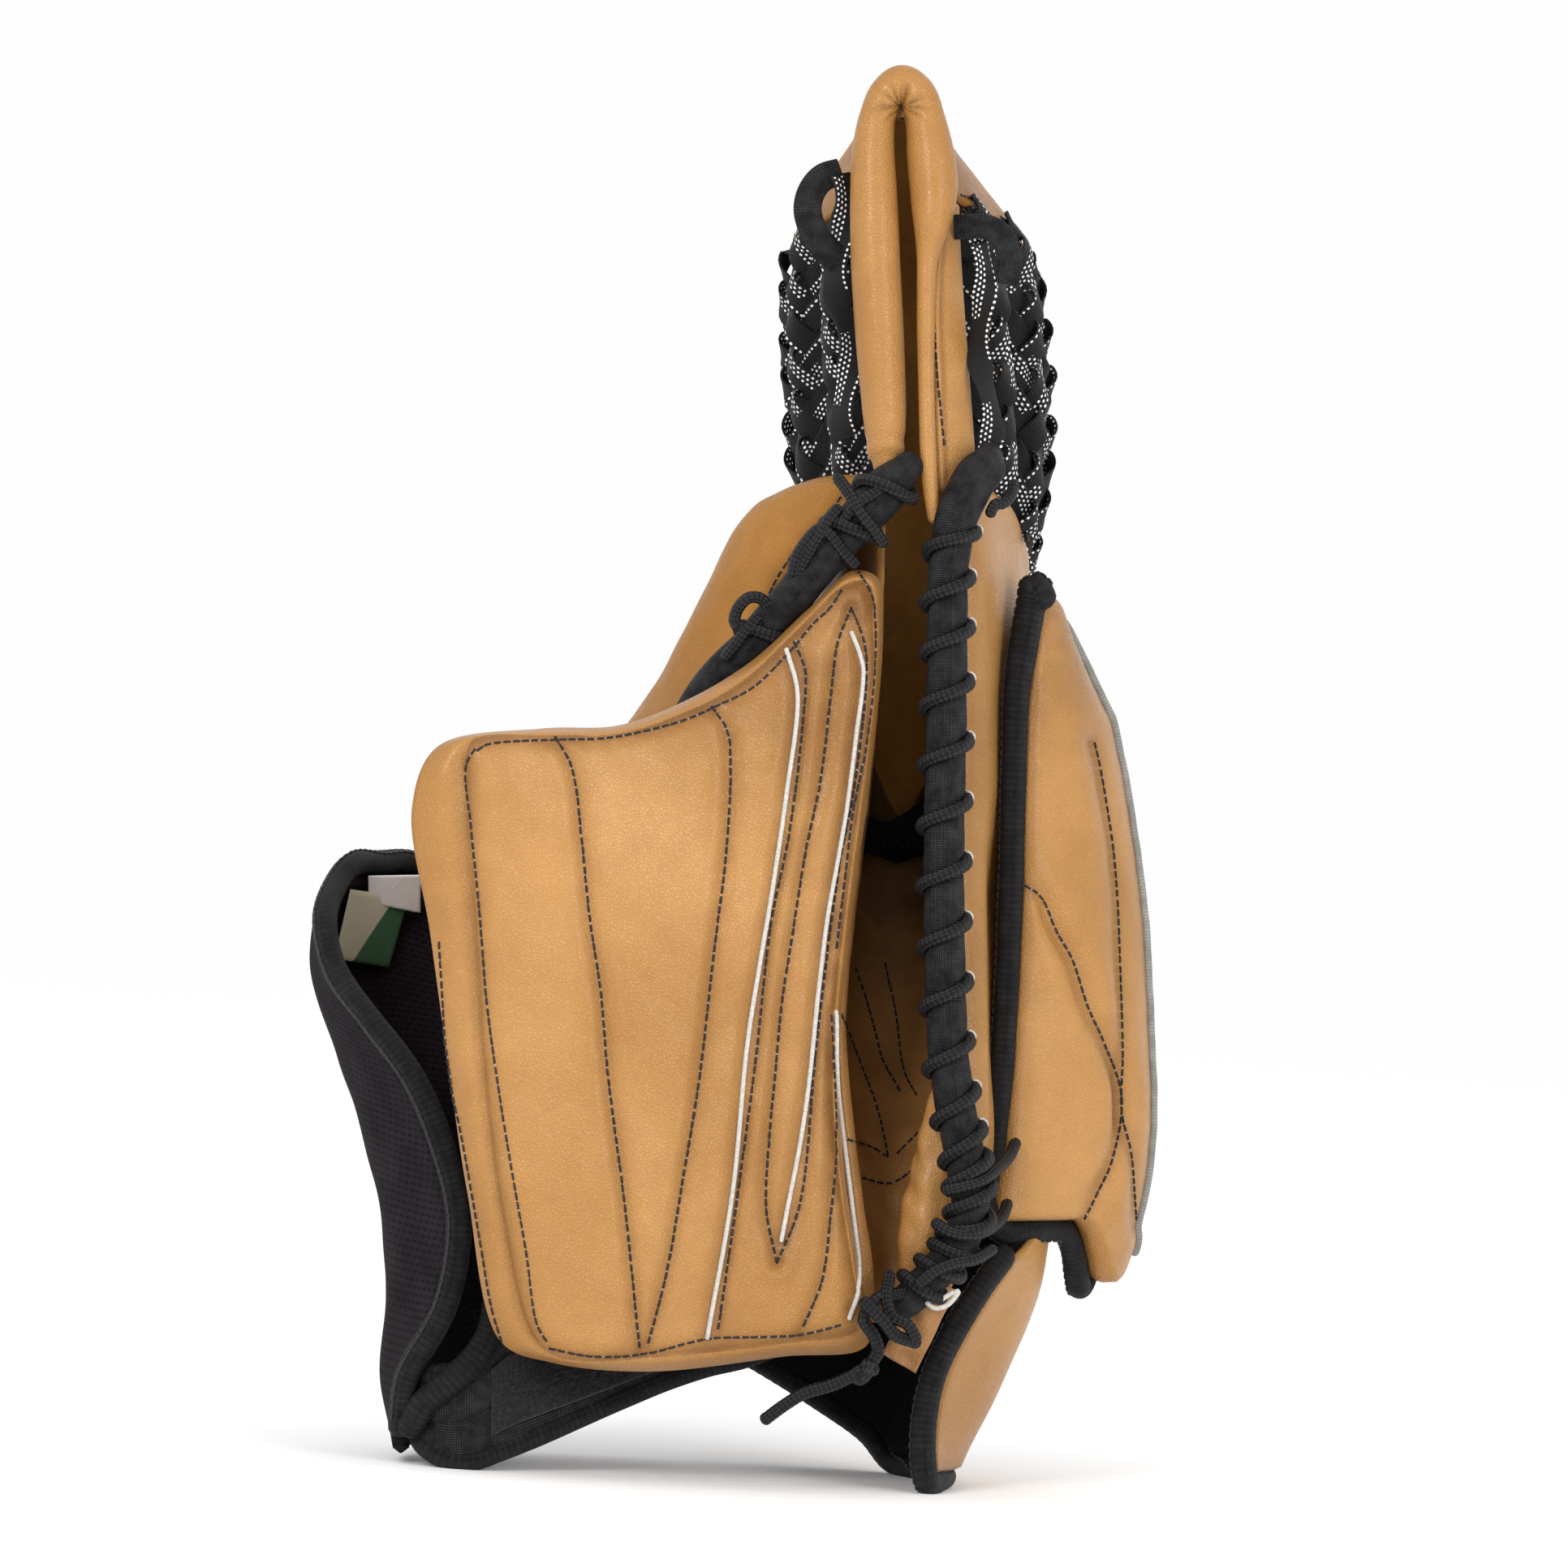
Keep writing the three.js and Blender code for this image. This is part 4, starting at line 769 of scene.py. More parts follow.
def palm_top(angle):
    """The height of the palm's upper edge."""
    return 226 + 112 * np.abs(np.cos(np.radians(angle))) ** 1.2


def uv_grid(nu, nv):
    return np.meshgrid(np.linspace(0, 1, nu), np.linspace(0, 1, nv), indexing="ij")


def palm():
    u, v = uv_grid(*PALM_GRID)
    angle = 3 + 174 * u
    p = pocket_point(angle, lerp(PALM_LOW, palm_top(angle), v))
    fingers = 9 * np.sin(math.pi * np.minimum(u / 0.42, 1)) * np.sin(math.pi * np.minimum(v * 1.1 + 0.05, 1))
    outer = np.where(u < 0.1, 7 - 10 * u, 6) + np.maximum(fingers, 0) - 3 * v
    outer = outer + 5.5 * bell(u - 0.028, 0.03) * np.sin(math.pi * v) ** 0.4
    full = smooth(p[..., 2], 195, 240) * (1 - smooth(p[..., 2], 300, 322))
    outer = outer + 5 * bell(u - 0.1, 0.05) * full
    outer = outer + 0.5 * wobble(p, 36, 3)
    low = 1 - smooth(p[..., 2], 110, 150)
    inner = 0.35 * (1 + wobble(p, 22, 4)) + low * (0.8 + 0.8 * wobble(p, 16, 6)) * np.sin(math.pi * u)
    mesh = wall(p, outer, inner, 4)
    wear_and_shade = np.clip(0.35 + 0.5 * wobble(p, 40, 5), 0, 0.6)
    rim = bell(u * 150, 7)
    worn_front = np.clip(0.08 * wear_and_shade + 0.2 * rim, 0, 1)
    # Painted shade inside the pocket, deepest above the break, over some wear.
    inside_wear_and_shade = 0.15 + 0.3 * wear_and_shade + 0.75 * smooth(p[..., 2], 150, 225)
    return mesh, np.concatenate([worn_front.ravel(), np.clip(inside_wear_and_shade, 0, 1).ravel()])


palm_mesh, palm_wear_and_shade = palm()
inner_from = (PALM_GRID[0] - 1) * (PALM_GRID[1] - 1)
# The inside faces get the leather copy that is darkened as painted shade.
palm_piece = build("palm_leather", palm_mesh, TAN, ["palm_shell"], palm_wear_and_shade, SHADED_INNER_LEATHER,
                   inner_from)
palm_skin = Skin(palm_mesh[0], palm_mesh[1])
PALM_LINES = [
    [(1053, 1191), (1068, 1235), (1081, 1282), (1087, 1305), (1112, 1350)],
    [(1090, 1186), (1104, 1250), (1115, 1322), (1135, 1358)],
    [(1036, 1248), (1058, 1305), (1081, 1367), (1095, 1429)], [(1044, 1404), (1076, 1415), (1098, 1429)],
    [(1149, 1378), (1122, 1405), (1098, 1429)], [(1062, 1452), (1098, 1458), (1145, 1423)],
]
build("palm_stitches", stitching([palm_skin.lay(line) for line in PALM_LINES]), THREAD)

# The rounded fold of leather at the palm's heel, beside the rim.
PALM_HEEL = [
    (74, -50, 139, 2), (72.6, -48.5, 130, 4.6), (71.4, -47.5, 120, 6.4), (70, -47, 107, 7.3),
    (67.4, -47, 93, 8.2), (65, -47.5, 83, 7.6), (63, -48, 76, 5),
]


def palm_heel():
    rows = np.array(PALM_HEEL, float)
    both = resample(Curve(rows).at(np.linspace(0, 1, 300)), 0.8)

    def folds(s, angle):
        fine = np.sin(s / 2.3 + 1.5 * np.sin(angle * 2 + s / 9)) * np.sin(s / 21)
        return 0.45 * fine + 0.3 * np.sin(angle * 5 + s / 6)
    return sweep(both[:, :3], both[:, 3], 36, shape=folds)


heel_mesh = palm_heel()
build("palm_heel_leather", heel_mesh, TAN, wear_and_shade=np.full(len(heel_mesh[0]), 0.15))

# The break band: two crossing laces over the fold.
band_u, band_v = uv_grid(60, 14)
band_angle = 50 + 80 * band_u
band_rise = 14 * np.abs(np.cos(np.radians(band_angle)))
band_line = pocket_point(band_angle, 208 + 9 * band_v + band_rise)
band_mesh = wall(band_line, -1.0, 3.2 + 0.5 * np.sin(band_u * 60) * np.sin(band_v * 9), 1.2)
build("break_band_cloth", band_mesh, LINING, ["break_band"])


def across_fold(first, last, low, high, off, width):
    """A flat lace across the pocket's fold, inside it."""
    n = 60
    angle = np.linspace(first, last, n)
    z = np.linspace(low, high, n) + 2 * np.sin(np.linspace(0, 9, n))
    p = pocket_point(angle, z)
    inward = unit(at(pocket_x(z), p[:, 1] - 40, z) - p)
    return ribbon(p + inward * off, inward, width, 1.6)


fold_laces = [across_fold(132, 50, 208, 236, 5.2, 9.5), across_fold(128, 54, 222, 214, 3.9, 9)]
build("fold_laces", gather(fold_laces), TAPE)

# The cuff board.
BOARD = [
    (-83.5, 250.5, -95, 249), (-60, 252.5, -60, 255), (-35, 253, -35, 256), (-14, 259.5, -12, 264.5),
    (6.5, 270.5, 9.5, 277.5), (25, 288, 28, 294.5), (41, 303, 43, 307.5), (48, 303.5, 51.5, 305),
    (50.5, 285, 53.2, 288), (49, 258, 51.2, 258), (45, 227, 47.2, 227), (40, 187, 42.2, 187),
    (36.5, 146, 38.6, 146), (38.5, 106, 40.6, 106), (43, 76, 45.5, 74), (45, 56, 48, 50),
    (19, 50.5, 20, 46), (-25, 46, -25, 41), (-55, 46, -57, 44), (-63.7, 54, -74, 51), (-73, 92, -85, 100),
    (-78.6, 133, -91, 140), (-82.6, 187, -97.5, 187), (-85, 228, -103.5, 229),
]
board_seam = Curve([(a, b) for a, b, _, _ in BOARD], closed=True)
board_edge = Curve([(c, d) for _, _, c, d in BOARD], closed=True)
BOARD_GRID = (150, 200)
BOARD_CORNERS = (0, 7, 15, 19)  # its rows at the upper left, upper right, lower right and lower left
BOARD_MIDDLE = np.array([-22, 150])
BOARD_Y = -66  # depth of its front at the right edge
BOARD_RIGHT = 50
BOARD_SLOPE = 0.29  # how much nearer its front comes for each millimetre to the left

# Lines on the board, in photograph pixels.
PANEL_1 = [
    (684, 908), (704, 945), (717, 1039), (726, 1128), (740, 1222), (749, 1325), (770, 1488), (788, 1664),
]
PANEL_2 = [
    (876, 869), (896, 901), (900, 950), (894, 1057), (880, 1169), (862, 1325), (840, 1461), (821, 1569),
    (796, 1665),
]
PIPE_1 = [
    (969, 801), (982, 853), (969, 975), (950, 1102), (934, 1197), (920, 1289), (902, 1468), (871, 1648),
]
PIPE_1_STITCH = [
    (978, 790), (992, 826), (990, 884), (973, 1025), (950, 1140), (932, 1300), (908, 1480), (884, 1645),
]
V_LEFT = [
    (1049, 748), (1032, 792), (1024, 853), (1011, 960), (992, 1052), (975, 1159), (963, 1236), (956, 1312),
    (947, 1410), (944, 1490), (957, 1557),
]
V_RIGHT = [
    (957, 1557), (985, 1486), (1007, 1280), (1034, 1067), (1053, 968), (1068, 826), (1065, 792),
    (1049, 748),
]
PIPE_2 = [
    (1049, 780), (1059, 807), (1063, 830), (1055, 899), (1042, 998), (1030, 1067), (1019, 1129),
    (1009, 1209), (996, 1334), (985, 1410), (962, 1528),
]
PIPE_3 = [(1030, 1247), (1031, 1334), (1041, 1423), (1056, 1535), (1056, 1593), (1046, 1624)]
RIGHT_STITCH = [
    (1058, 705), (1074, 735), (1079, 776), (1076, 842), (1065, 930), (1052, 995), (1040, 1090),
    (1029, 1180),
]
LOW_STITCH = [(1024, 1250), (1028, 1330), (1030, 1420), (1022, 1510), (1012, 1580), (985, 1644)]
TOP_STITCH = [
    (587, 926), (600, 918), (684, 912), (746, 910), (791, 902), (845, 887), (881, 871), (928, 847),
    (973, 803), (1003, 768), (1024, 748), (1040, 722),
]
LEFT_STITCH = [
    (586, 922), (575, 943), (580, 1012), (591, 1124), (600, 1236), (615, 1347), (631, 1445), (648, 1542),
    (662, 1632), (678, 1659),
]
BOTTOM_STITCH = [
    (675, 1661), (729, 1671), (794, 1668), (870, 1650), (946, 1647), (982, 1645), (1016, 1638),
    (1043, 1630),
]
REAR_STITCH = [(541, 1160), (546, 1240), (551, 1314), (569, 1401), (592, 1531), (606, 1612), (619, 1655)]
CREASES = [
    (PANEL_1, 1.4, 2.4), (PANEL_2, 1.4, 2.4), (PIPE_1, 1.3, 2.8), (PIPE_1_STITCH, 1.0, 1.8),
    (V_LEFT, 1.2, 2.0), (V_RIGHT, 1.2, 2.0), (PIPE_2, 1.4, 2.6), (PIPE_3, 0.9, 2.2),
    (RIGHT_STITCH, 1.0, 1.8), (LOW_STITCH, 1.0, 1.8),
]


def on_board(flat, depth):
    """Places at a depth behind the board's slanting front."""
    x = flat[..., 0]
    return at(x, BOARD_Y - BOARD_SLOPE * (BOARD_RIGHT - x) + depth, flat[..., 1])


def board():
    nu, nv = BOARD_GRID
    c1, c2, c3, c4 = BOARD_CORNERS
    sides = []
    for first, last, n in ((c1, c2, nu), (c2, c3, nv), (c4, c3, nu), (len(BOARD), c4, nv)):
        t = np.linspace(first, last, 600) / len(BOARD)
        line = board_seam.at(t)
        run = run_of(line)
        sides.append(np.interp(np.linspace(0, run[-1], n), run, t))
    top, right, bottom, left = (board_seam.at(t) for t in sides)
    u = np.linspace(0, 1, nu)[:, None, None]
    v = np.linspace(0, 1, nv)[None, :, None]
    flat = (1 - v) * top[:, None] + v * bottom[:, None] + (1 - u) * left[None] + u * right[None]
    flat = flat - (1 - v) * ((1 - u) * top[0] + u * top[-1]) - v * ((1 - u) * bottom[0] + u * bottom[-1])
    inside = distance(flat, board_seam.at(np.linspace(0, 1, 200)))
    depth = 1 - 4.2 * np.sqrt(1 - (1 - np.clip(inside / 8, 0, 1)) ** 2) - 1.8 * np.clip(inside / 50, 0, 1)
    wear_and_shade = 0.5 * bell(inside, 4) + 0.34 * smooth(flat[..., 1], 222, 262)
    fade = np.clip(inside / 4, 0, 1)
    for line, deep, broad in CREASES:
        gap = gap_to(flat, line)
        depth = depth + deep * bell(gap, broad) * fade - 0.25 * bell(gap - 4.5, 2.5) * fade
        wear_and_shade = wear_and_shade + 0.30 * bell(gap, 1.8) + 0.16 * bell(gap, 6)
    spot = at(flat[..., 0], 0 * flat[..., 0], flat[..., 1])
    depth = depth + 0.55 * wobble(spot, 60, 11) * fade + 0.14 * wobble(spot, 15, 12) * fade
    face = on_board(flat, depth)
    ids = np.arange(nu * nv).reshape(nu, nv)
    ring = rim_of(ids)
    t = np.concatenate([sides[0], sides[1][1:], sides[2][-2::-1], sides[3][-2:0:-1]])
    seam = board_seam.at(t)
    edge = board_edge.at(t)
    rows = []
    wear = [wear_and_shade.ravel()]
    for s in np.linspace(0, 1, 13)[1:]:
        q = lerp(seam, edge, s)
        swell = math.sin(math.pi * s)
        uneven = 0.25 * wobble(at(q[:, 0], 0, q[:, 1]), 18, 13)
        rows.append(on_board(q, 1 + 8 * s**1.5 - 1.5 * swell + uneven * swell))
        wear.append(np.full(len(q), 0.45 * bell(s, 0.2) + 0.04 + 0.1 * s))
    out = unit(edge - BOARD_MIDDLE)
    for s in np.linspace(0, 1, 8)[1:]:
        q = edge - out * (5 * (1 - math.cos(s * math.pi / 2)))
        rows.append(on_board(q, 9 + 15 * math.sin(s * math.pi / 2)))
        wear.append(np.full(len(q), 0.14))
    core = edge - out * 5
    for s in (0.12, 0.3, 0.5, 0.7, 0.9):
        q = lerp(core, BOARD_MIDDLE, s)
        rows.append(on_board(q, 24 + 1.2 * s))
        wear.append(np.full(len(q), 0.2))
    points = np.concatenate([face.reshape(-1, 3), *rows])
    faces = quads(ids)[:, ::-1].tolist()
    last = ring
    start = nu * nv
    for _ in rows:
        here = np.arange(start, start + len(ring))
        faces.extend(np.stack([last, np.roll(last, -1), np.roll(here, -1), here], -1).tolist())
        last = here
        start += len(ring)
    faces.append(last.tolist())
    points = seen(points)
    return (points, faces, points[:, [0, 2]]), np.clip(np.concatenate(wear), 0, 0.9)


board_mesh, board_worn = board()
board_piece = build("cuff_board_leather", board_mesh, TAN, ["cuff_board"], board_worn)
board_skin = Skin(board_mesh[0], board_mesh[1])
board_lines = [PANEL_1, PANEL_2, PIPE_1_STITCH, V_LEFT, V_RIGHT, RIGHT_STITCH, LOW_STITCH, TOP_STITCH,
               LEFT_STITCH, BOTTOM_STITCH, REAR_STITCH]
build("board_stitches", stitching([board_skin.lay(line) for line in board_lines]), THREAD)


def piping(skin, pixels, radius=0.8, lift=0.32):
    p, n = skin.lay(pixels)
    return sweep(resample(p + n * lift, 0.7), radius, 10)


board_pipes = [piping(board_skin, line) for line in (PIPE_1, PIPE_2, PIPE_3)]
build("board_piping", gather(board_pipes), PIPING)

# The thumb pad.
THUMB_PAD = [
    (57, 336, -50, 5, -34, 52, -10, 338), (49, 329, -51, 16, -28, 32, 14, 331),
    (39, 318, -52, 25, -22, 22, 32, 320), (28, 306, -52, 28.5, -18, 14, 44, 304),
    (8, 281, -50, 23, -14, 6, 56, 274), (-10, 261, -49, 16, -12, 3, 62, 244),
    (-30, 236, -62, 13, -12, 0, 62, 214), (-46, 204, -68, 10, -10, -6, 60, 182),
    (-56, 172, -71, 6, -10, -14, 58, 150),
]


def thumb_pad():
    rim_x, rim_z, rim_y, swell, side_y, seam_x, seam_y, seam_z = numbered(THUMB_PAD)
    u, v = uv_grid(80, 120)
    row = v * (len(THUMB_PAD) - 1)
    rim = at(rim_x(row), rim_y(row), rim_z(row))
    seam = at(seam_x(row), seam_y(row), seam_z(row))
    out = np.array([-0.76, 0, 0.65]) * swell(row)[..., None]
    side = rim + out
    side[..., 1] = side_y(row)
    behind = lerp(side, seam, 0.5) + 0.2 * out
    p = through([rim, side, behind, seam], u)
    crease = bell(gap_to(picture(p), THUMB_STITCH), 2.2) * (p[..., 1] < -12)
    outer = 0.4 * wobble(p, 42, 21) - 1.1 * crease + 0.25 * wobble(p, 15, 22) * np.sin(math.pi * u)
    inner = 3 + 4 * np.sin(math.pi * u) * np.minimum(1, 3 * v)
    edges = 0.35 * bell(u, 0.06) + 0.25 * bell(1 - u, 0.06)
    wear_and_shade = np.clip(0.5 * crease + edges + 0.28, 0, 1)
    return wall(p, outer, inner, 3), np.concatenate([wear_and_shade.ravel(), wear_and_shade.ravel()])


THUMB_STITCH = [(1043, 604), (1018, 636), (992, 664), (968, 696), (948, 732), (938, 764)]
thumb_mesh, thumb_worn = thumb_pad()
thumb_piece = build("thumb_pad_leather", thumb_mesh, MATT_TAN, ["thumb_pad"], thumb_worn)
thumb_skin = Skin(thumb_mesh[0], thumb_mesh[1])
build("thumb_stitches", stitching([thumb_skin.lay(THUMB_STITCH)]), THREAD)

# The back pad.
BACK_PAD = [
    (62, 88, -24, 121, 24, 98, 66), (90, 89, -24, 128.5, 24, 104, 76), (119, 93.5, -23, 130.5, 24, 109, 88),
    (149, 96.5, -22, 130.5, 24, 112, 98), (179, 98, -21, 128.5, 24, 112, 106),
    (206, 99, -20, 126, 24, 110, 110), (233, 99.5, -20, 122.5, 24, 106, 112),
    (268, 100.5, -19, 115.5, 22, 100, 108), (302, 105.5, -16, 106.5, 16, 100, 92),
]
back_near_x, back_near_y, back_ridge_x, back_ridge_y, back_back_x, back_back_y = columns(BACK_PAD)
PAD_GRID = (110, 150)
PAD_REAR = 0.78  # share of the way round it where its rear seam is
PAD_RIDGE = 0.53
PAD_SEAM_1 = [
    (1262, 1090), (1283, 1106), (1302, 1148), (1321, 1182), (1340, 1240), (1360, 1285), (1382, 1352),
    (1369, 1432), (1351, 1472), (1335, 1504),
]
PAD_SEAM_2 = [
    (1348, 914), (1355, 945), (1363, 991), (1371, 1044), (1376, 1102), (1380, 1197), (1383, 1300),
    (1382, 1370), (1393, 1419), (1398, 1477), (1400, 1512),
]

PAD_FOLD = [(1250, 1180), (1262, 1330), (1290, 1440), (1320, 1480)]


def back_pad_surface(u, z):
    near = at(back_near_x(z), back_near_y(z), z)
    ridge = at(back_ridge_x(z), back_ridge_y(z), z)
    back = at(back_back_x(z), back_back_y(z), z)
    front = lerp(near, ridge, 0.45) + np.array([3, -3, 0])
    behind = lerp(ridge, back, 0.5) + np.array([4, 2, 0])
    return through([near, front, ridge, behind, back], u)


def back_pad_low(u):
    return 90 - 22 * smooth(u, 0.29, 0.47) + 16 * smooth(u, 0.44, 0.60)


def back_pad():
    u, v = uv_grid(*PAD_GRID)
    low = back_pad_low(u)
    high = BACK_PAD[-1][0] - 26 * u**1.5
    p = back_pad_surface(u, low + (high - low) * v)
    outer = 4 + 9 * np.sin(math.pi * u) ** 0.7 * np.minimum(1, 6 * (1 - v)) ** 0.7
    flat = picture(p + normals_of(p) * outer[..., None])
    facing = u < 0.56
    relief = 0.5 * wobble(p, 60, 31) + 0.2 * wobble(p, 17, 32)
    wear_and_shade = 0 * u
    for line, deep, broad in ((PAD_SEAM_1, 2.4, 3.2), (PAD_SEAM_2, 1.5, 2.3)):
        gap = gap_to(flat, line)
        relief = relief - deep * bell(gap, broad) * facing
        relief = relief + 0.9 * bell(gap - 7, 4.5) * facing
        wear_and_shade = wear_and_shade + 0.4 * bell(gap, 2.2) * facing
    relief = relief - 1.4 * bell(gap_to(flat, PAD_FOLD), 6) * facing
    rear = bell((u - PAD_REAR) * 160, 2.2) * (u > 0.6)
    relief = relief - 1.2 * rear
    handled = 0.4 * smooth(p[..., 2], 225, 285)
    wear_and_shade = np.clip(wear_and_shade + 0.35 * bell(u, 0.05) + 0.4 * rear + handled, 0, 1)
    outer = outer + relief * edge_fade(u, v, 14)
    return wall(p, outer, 0, 3), np.concatenate([wear_and_shade.ravel(), np.full(u.size, 0.4)])


pad_mesh, pad_worn = back_pad()
pad_piece = build("back_pad_leather", pad_mesh, TAN, ["back_pad"], pad_worn)
pad_skin = Skin(pad_mesh[0], pad_mesh[1])
pad_front = pad_mesh[0][: PAD_GRID[0] * PAD_GRID[1]].reshape(*PAD_GRID, 3)
pad_normal = normals_of(pad_front)
rear_row = int(PAD_REAR * (PAD_GRID[0] - 1))
pad_lines = [pad_skin.lay(PAD_SEAM_1), pad_skin.lay(PAD_SEAM_2)]
pad_lines.append((pad_front[rear_row, 6:-6], pad_normal[rear_row, 6:-6]))
build("back_pad_stitches", stitching(pad_lines), THREAD)
ridge_row = int(PAD_RIDGE * (PAD_GRID[0] - 1))
ridge_line = pad_front[ridge_row, 3:-2] + pad_normal[ridge_row, 3:-2] * 0.5
build("back_pad_piping", sweep(resample(ridge_line, 0.5), 1.8, 12), RIBBED)


# Edge bindings and rolls.
BINDING = 4.2  # radius of the rolled edges
TUCK = 0.7  # how far a binding closes over the edge it binds
GAP = 0.4  # between the rim's roll and the lace round it


def on_surface(surface, u, z):
    return surface(np.full(1, float(u)), np.full(1, float(z)))[0]


def beside(surface, z, away):
    """A place off a surface's first edge."""
    p = on_surface(surface, 0, z)
    return p + unit(p - on_surface(surface, 0.03, z)) * away


def puckers(s, angle):
    """Folded cloth pulled in a little at every stitch, and one flat seam along it."""
    pull = -0.12 * (0.5 + 0.5 * np.cos(2 * math.pi * s / 3.3)) * np.exp(-((angle - 4.9) ** 2) / 0.2)
    seam = -0.25 * np.exp(-((angle - 5.2) ** 2) / 0.05)
    slack = 0.16 * np.sin(s / 9.0 + 1.3 * np.sin(s / 23.0)) * np.sin(angle * 2 + s / 14.0)
    return pull + seam + slack


def rolled(name, path, radius, step=0.8, sides=24):
    """A rolled edge of cloth along a few points."""
    build(name, sweep(Curve(path).even(step), radius, sides, shape=puckers), TAPE)


def binding(name, path, radii, node, seam):
    """A bound edge along a few points. Gives the line that its stitches follow, seam radians round it."""
    sides = 24
    line = Curve(path).even(0.7)
    radius = np.interp(np.linspace(0, 1, len(line)), np.linspace(0, 1, len(radii)), radii)
    body = sweep(line, radius, sides, shape=puckers)
    build(name, body, TAPE, [node])
    rings = body[0].reshape(-1, sides, 3)[6:-6]
    k = int(round(seam / (2 * math.pi) * sides)) % sides
    return rings[:, k], unit(rings[:, k] - rings.mean(1))


pad_edge = [(106.8, -20.5, 299.5), (104.6, -21, 303.2)]
pad_edge += [beside(back_pad_surface, z, BINDING - TUCK)
             for z in (298, 288, 268, 240, 206, 173, 140, 112, 97)]
pad_edge += [on_surface(back_pad_surface, u, float(back_pad_low(u)) - BINDING + TUCK)
             for u in (0.06, 0.16, 0.25, 0.31, 0.36, 0.41, 0.46, 0.53, 0.6)]
pad_radii = [4.9, 5.1, 4.8, 4.4] + [BINDING] * 16
edge_stitches = [binding("back_pad_edge", pad_edge, pad_radii, "back_pad_binding", 1.2)]

# The gauntlet, its lining and its binding.
GAUNTLET = [
    (0, 68.5, -38, 73, 2, 52, 40, 6, 52), (14, 67.8, -38, 80, 2, 58, 44, 6, 53),
    (27, 69, -38, 87, 2, 62, 47, 6, 54), (41, 72.6, -38, 93.5, 2, 66, 50, 6, 55),
    (55, 79.4, -37, 99.5, 3, 69, 53, 6, 56), (68, 87.5, -34, 104, 4, 72, 55, 6, 57),
    (80, 96, -26, 106, 6, 75, 57, 6, 58), (92, 101, -14, 107, 9, 78, 59, 6, 58),
]


def surface_of(rows):
    """The surface through a table's points. Each row is a height, then X and Y of every point at it."""
    table = columns(rows)

    def surface(u, z):
        return through([at(x(z), y(z), z) for x, y in zip(table[::2], table[1::2])], u)
    return surface


gauntlet_surface = surface_of(GAUNTLET)


def gauntlet_low(u):
    return 6 + 38 * np.maximum(0, (np.asarray(u, float) - 0.62) / 0.38) ** 1.1


def gauntlet(outer, inner, name, finish, node):
    u, v = uv_grid(110, 60)
    low = gauntlet_low(u)
    high = 79 + 13 * smooth(u, 0, 0.25)
    p = gauntlet_surface(u, low + (high - low) * v)
    bend = 0.35 * wobble(p, 34, 41) * np.sin(math.pi * u) * np.sin(math.pi * v)
    mesh = wall(p, outer + bend, inner - bend, 1.2)
    wear_and_shade = np.clip(0.45 * bell(v * 80, 5) + 0.3 * bell(u * 150, 4), 0, 1)
    return build(name, mesh, finish, [node], np.concatenate([wear_and_shade.ravel()] * 2))


gauntlet(3.6, -0.2, "gauntlet_leather", TAN, "gauntlet")
lining_piece = gauntlet(-0.8, 3.4, "gauntlet_cloth", LINING, "gauntlet_lining")
gauntlet_edge = [beside(gauntlet_surface, z, BINDING - TUCK) for z in (78, 66, 52, 38, 24, 12)]
gauntlet_edge.append(beside(gauntlet_surface, 4, 1.5))
gauntlet_edge += [on_surface(gauntlet_surface, u, float(gauntlet_low(u)) - 3.2)
                  for u in (0.14, 0.28, 0.42, 0.54, 0.64, 0.74, 0.87, 1)]
gauntlet_radii = [BINDING] * 7 + [3.6] * 8
edge_stitches.append(binding("gauntlet_edge", gauntlet_edge, gauntlet_radii, "gauntlet_binding", 1.2))

# The wrist wrap and its rolled edge.
WRAP = [
    (16, -107, -58, -106, -30, -86, 10, -24, 34), (38, -106, -62, -111, -30, -92, 20, -22, 44),
    (65, -93, -68, -110.5, -30, -93, 26, -20, 50), (92, -89, -70, -112, -30, -95, 30, -18, 54),
    (127, -98, -67, -120, -28, -101, 34, -18, 57), (146, -108.5, -62, -126.5, -26, -107, 36, -20, 59),
    (164, -123, -52, -134, -22, -113, 38, -24, 60), (179, -132, -40, -136, -14, -115, 40, -30, 60),
    (196, -133, -28, -133, -6, -110, 40, -38, 60), (210, -127, -16, -125, 0, -102, 40, -48, 58),
]
wrap_surface = surface_of(WRAP)


def wrap_high(u):
    return 196 + 11 * smooth(u, 0, 0.35) - 30 * smooth(u, 0.6, 1)


def wrap_low(u):
    return 14.5 + 28 * smooth(u, 0.3, 1)


def wrist_wrap():
    u, v = uv_grid(120, 110)
    p = wrap_surface(u, wrap_low(u) + (wrap_high(u) - wrap_low(u)) * v)
    fade = np.sin(math.pi * u) ** 0.5 * np.sin(math.pi * v) ** 0.5
    soft = 1.1 * wobble(p, 70, 51) * fade + 0.35 * wobble(p, 22, 52) * fade
    p = p + normals_of(p) * soft[..., None]
    thick = 3 + 0.5 * wobble(p, 30, 53) * fade
    return wall(p, thick, thick, 3)


wrap_mesh = wrist_wrap()
wrap_piece = build("wrist_wrap_cloth", wrap_mesh, MESH, ["wrist_wrap"])
wrap_edge = [beside(wrap_surface, z, BINDING - TUCK) for z in (24, 40, 65, 92, 118, 140, 158, 174, 190)]
wrap_edge += [on_surface(wrap_surface, u, float(wrap_high(u)) + BINDING - 1.4)
              for u in (0.14, 0.3, 0.48, 0.64, 0.8, 0.95)]
edge_stitches.append(binding("wrist_wrap_edge", wrap_edge, [BINDING] * 2, "wrist_wrap_binding", 5.4))

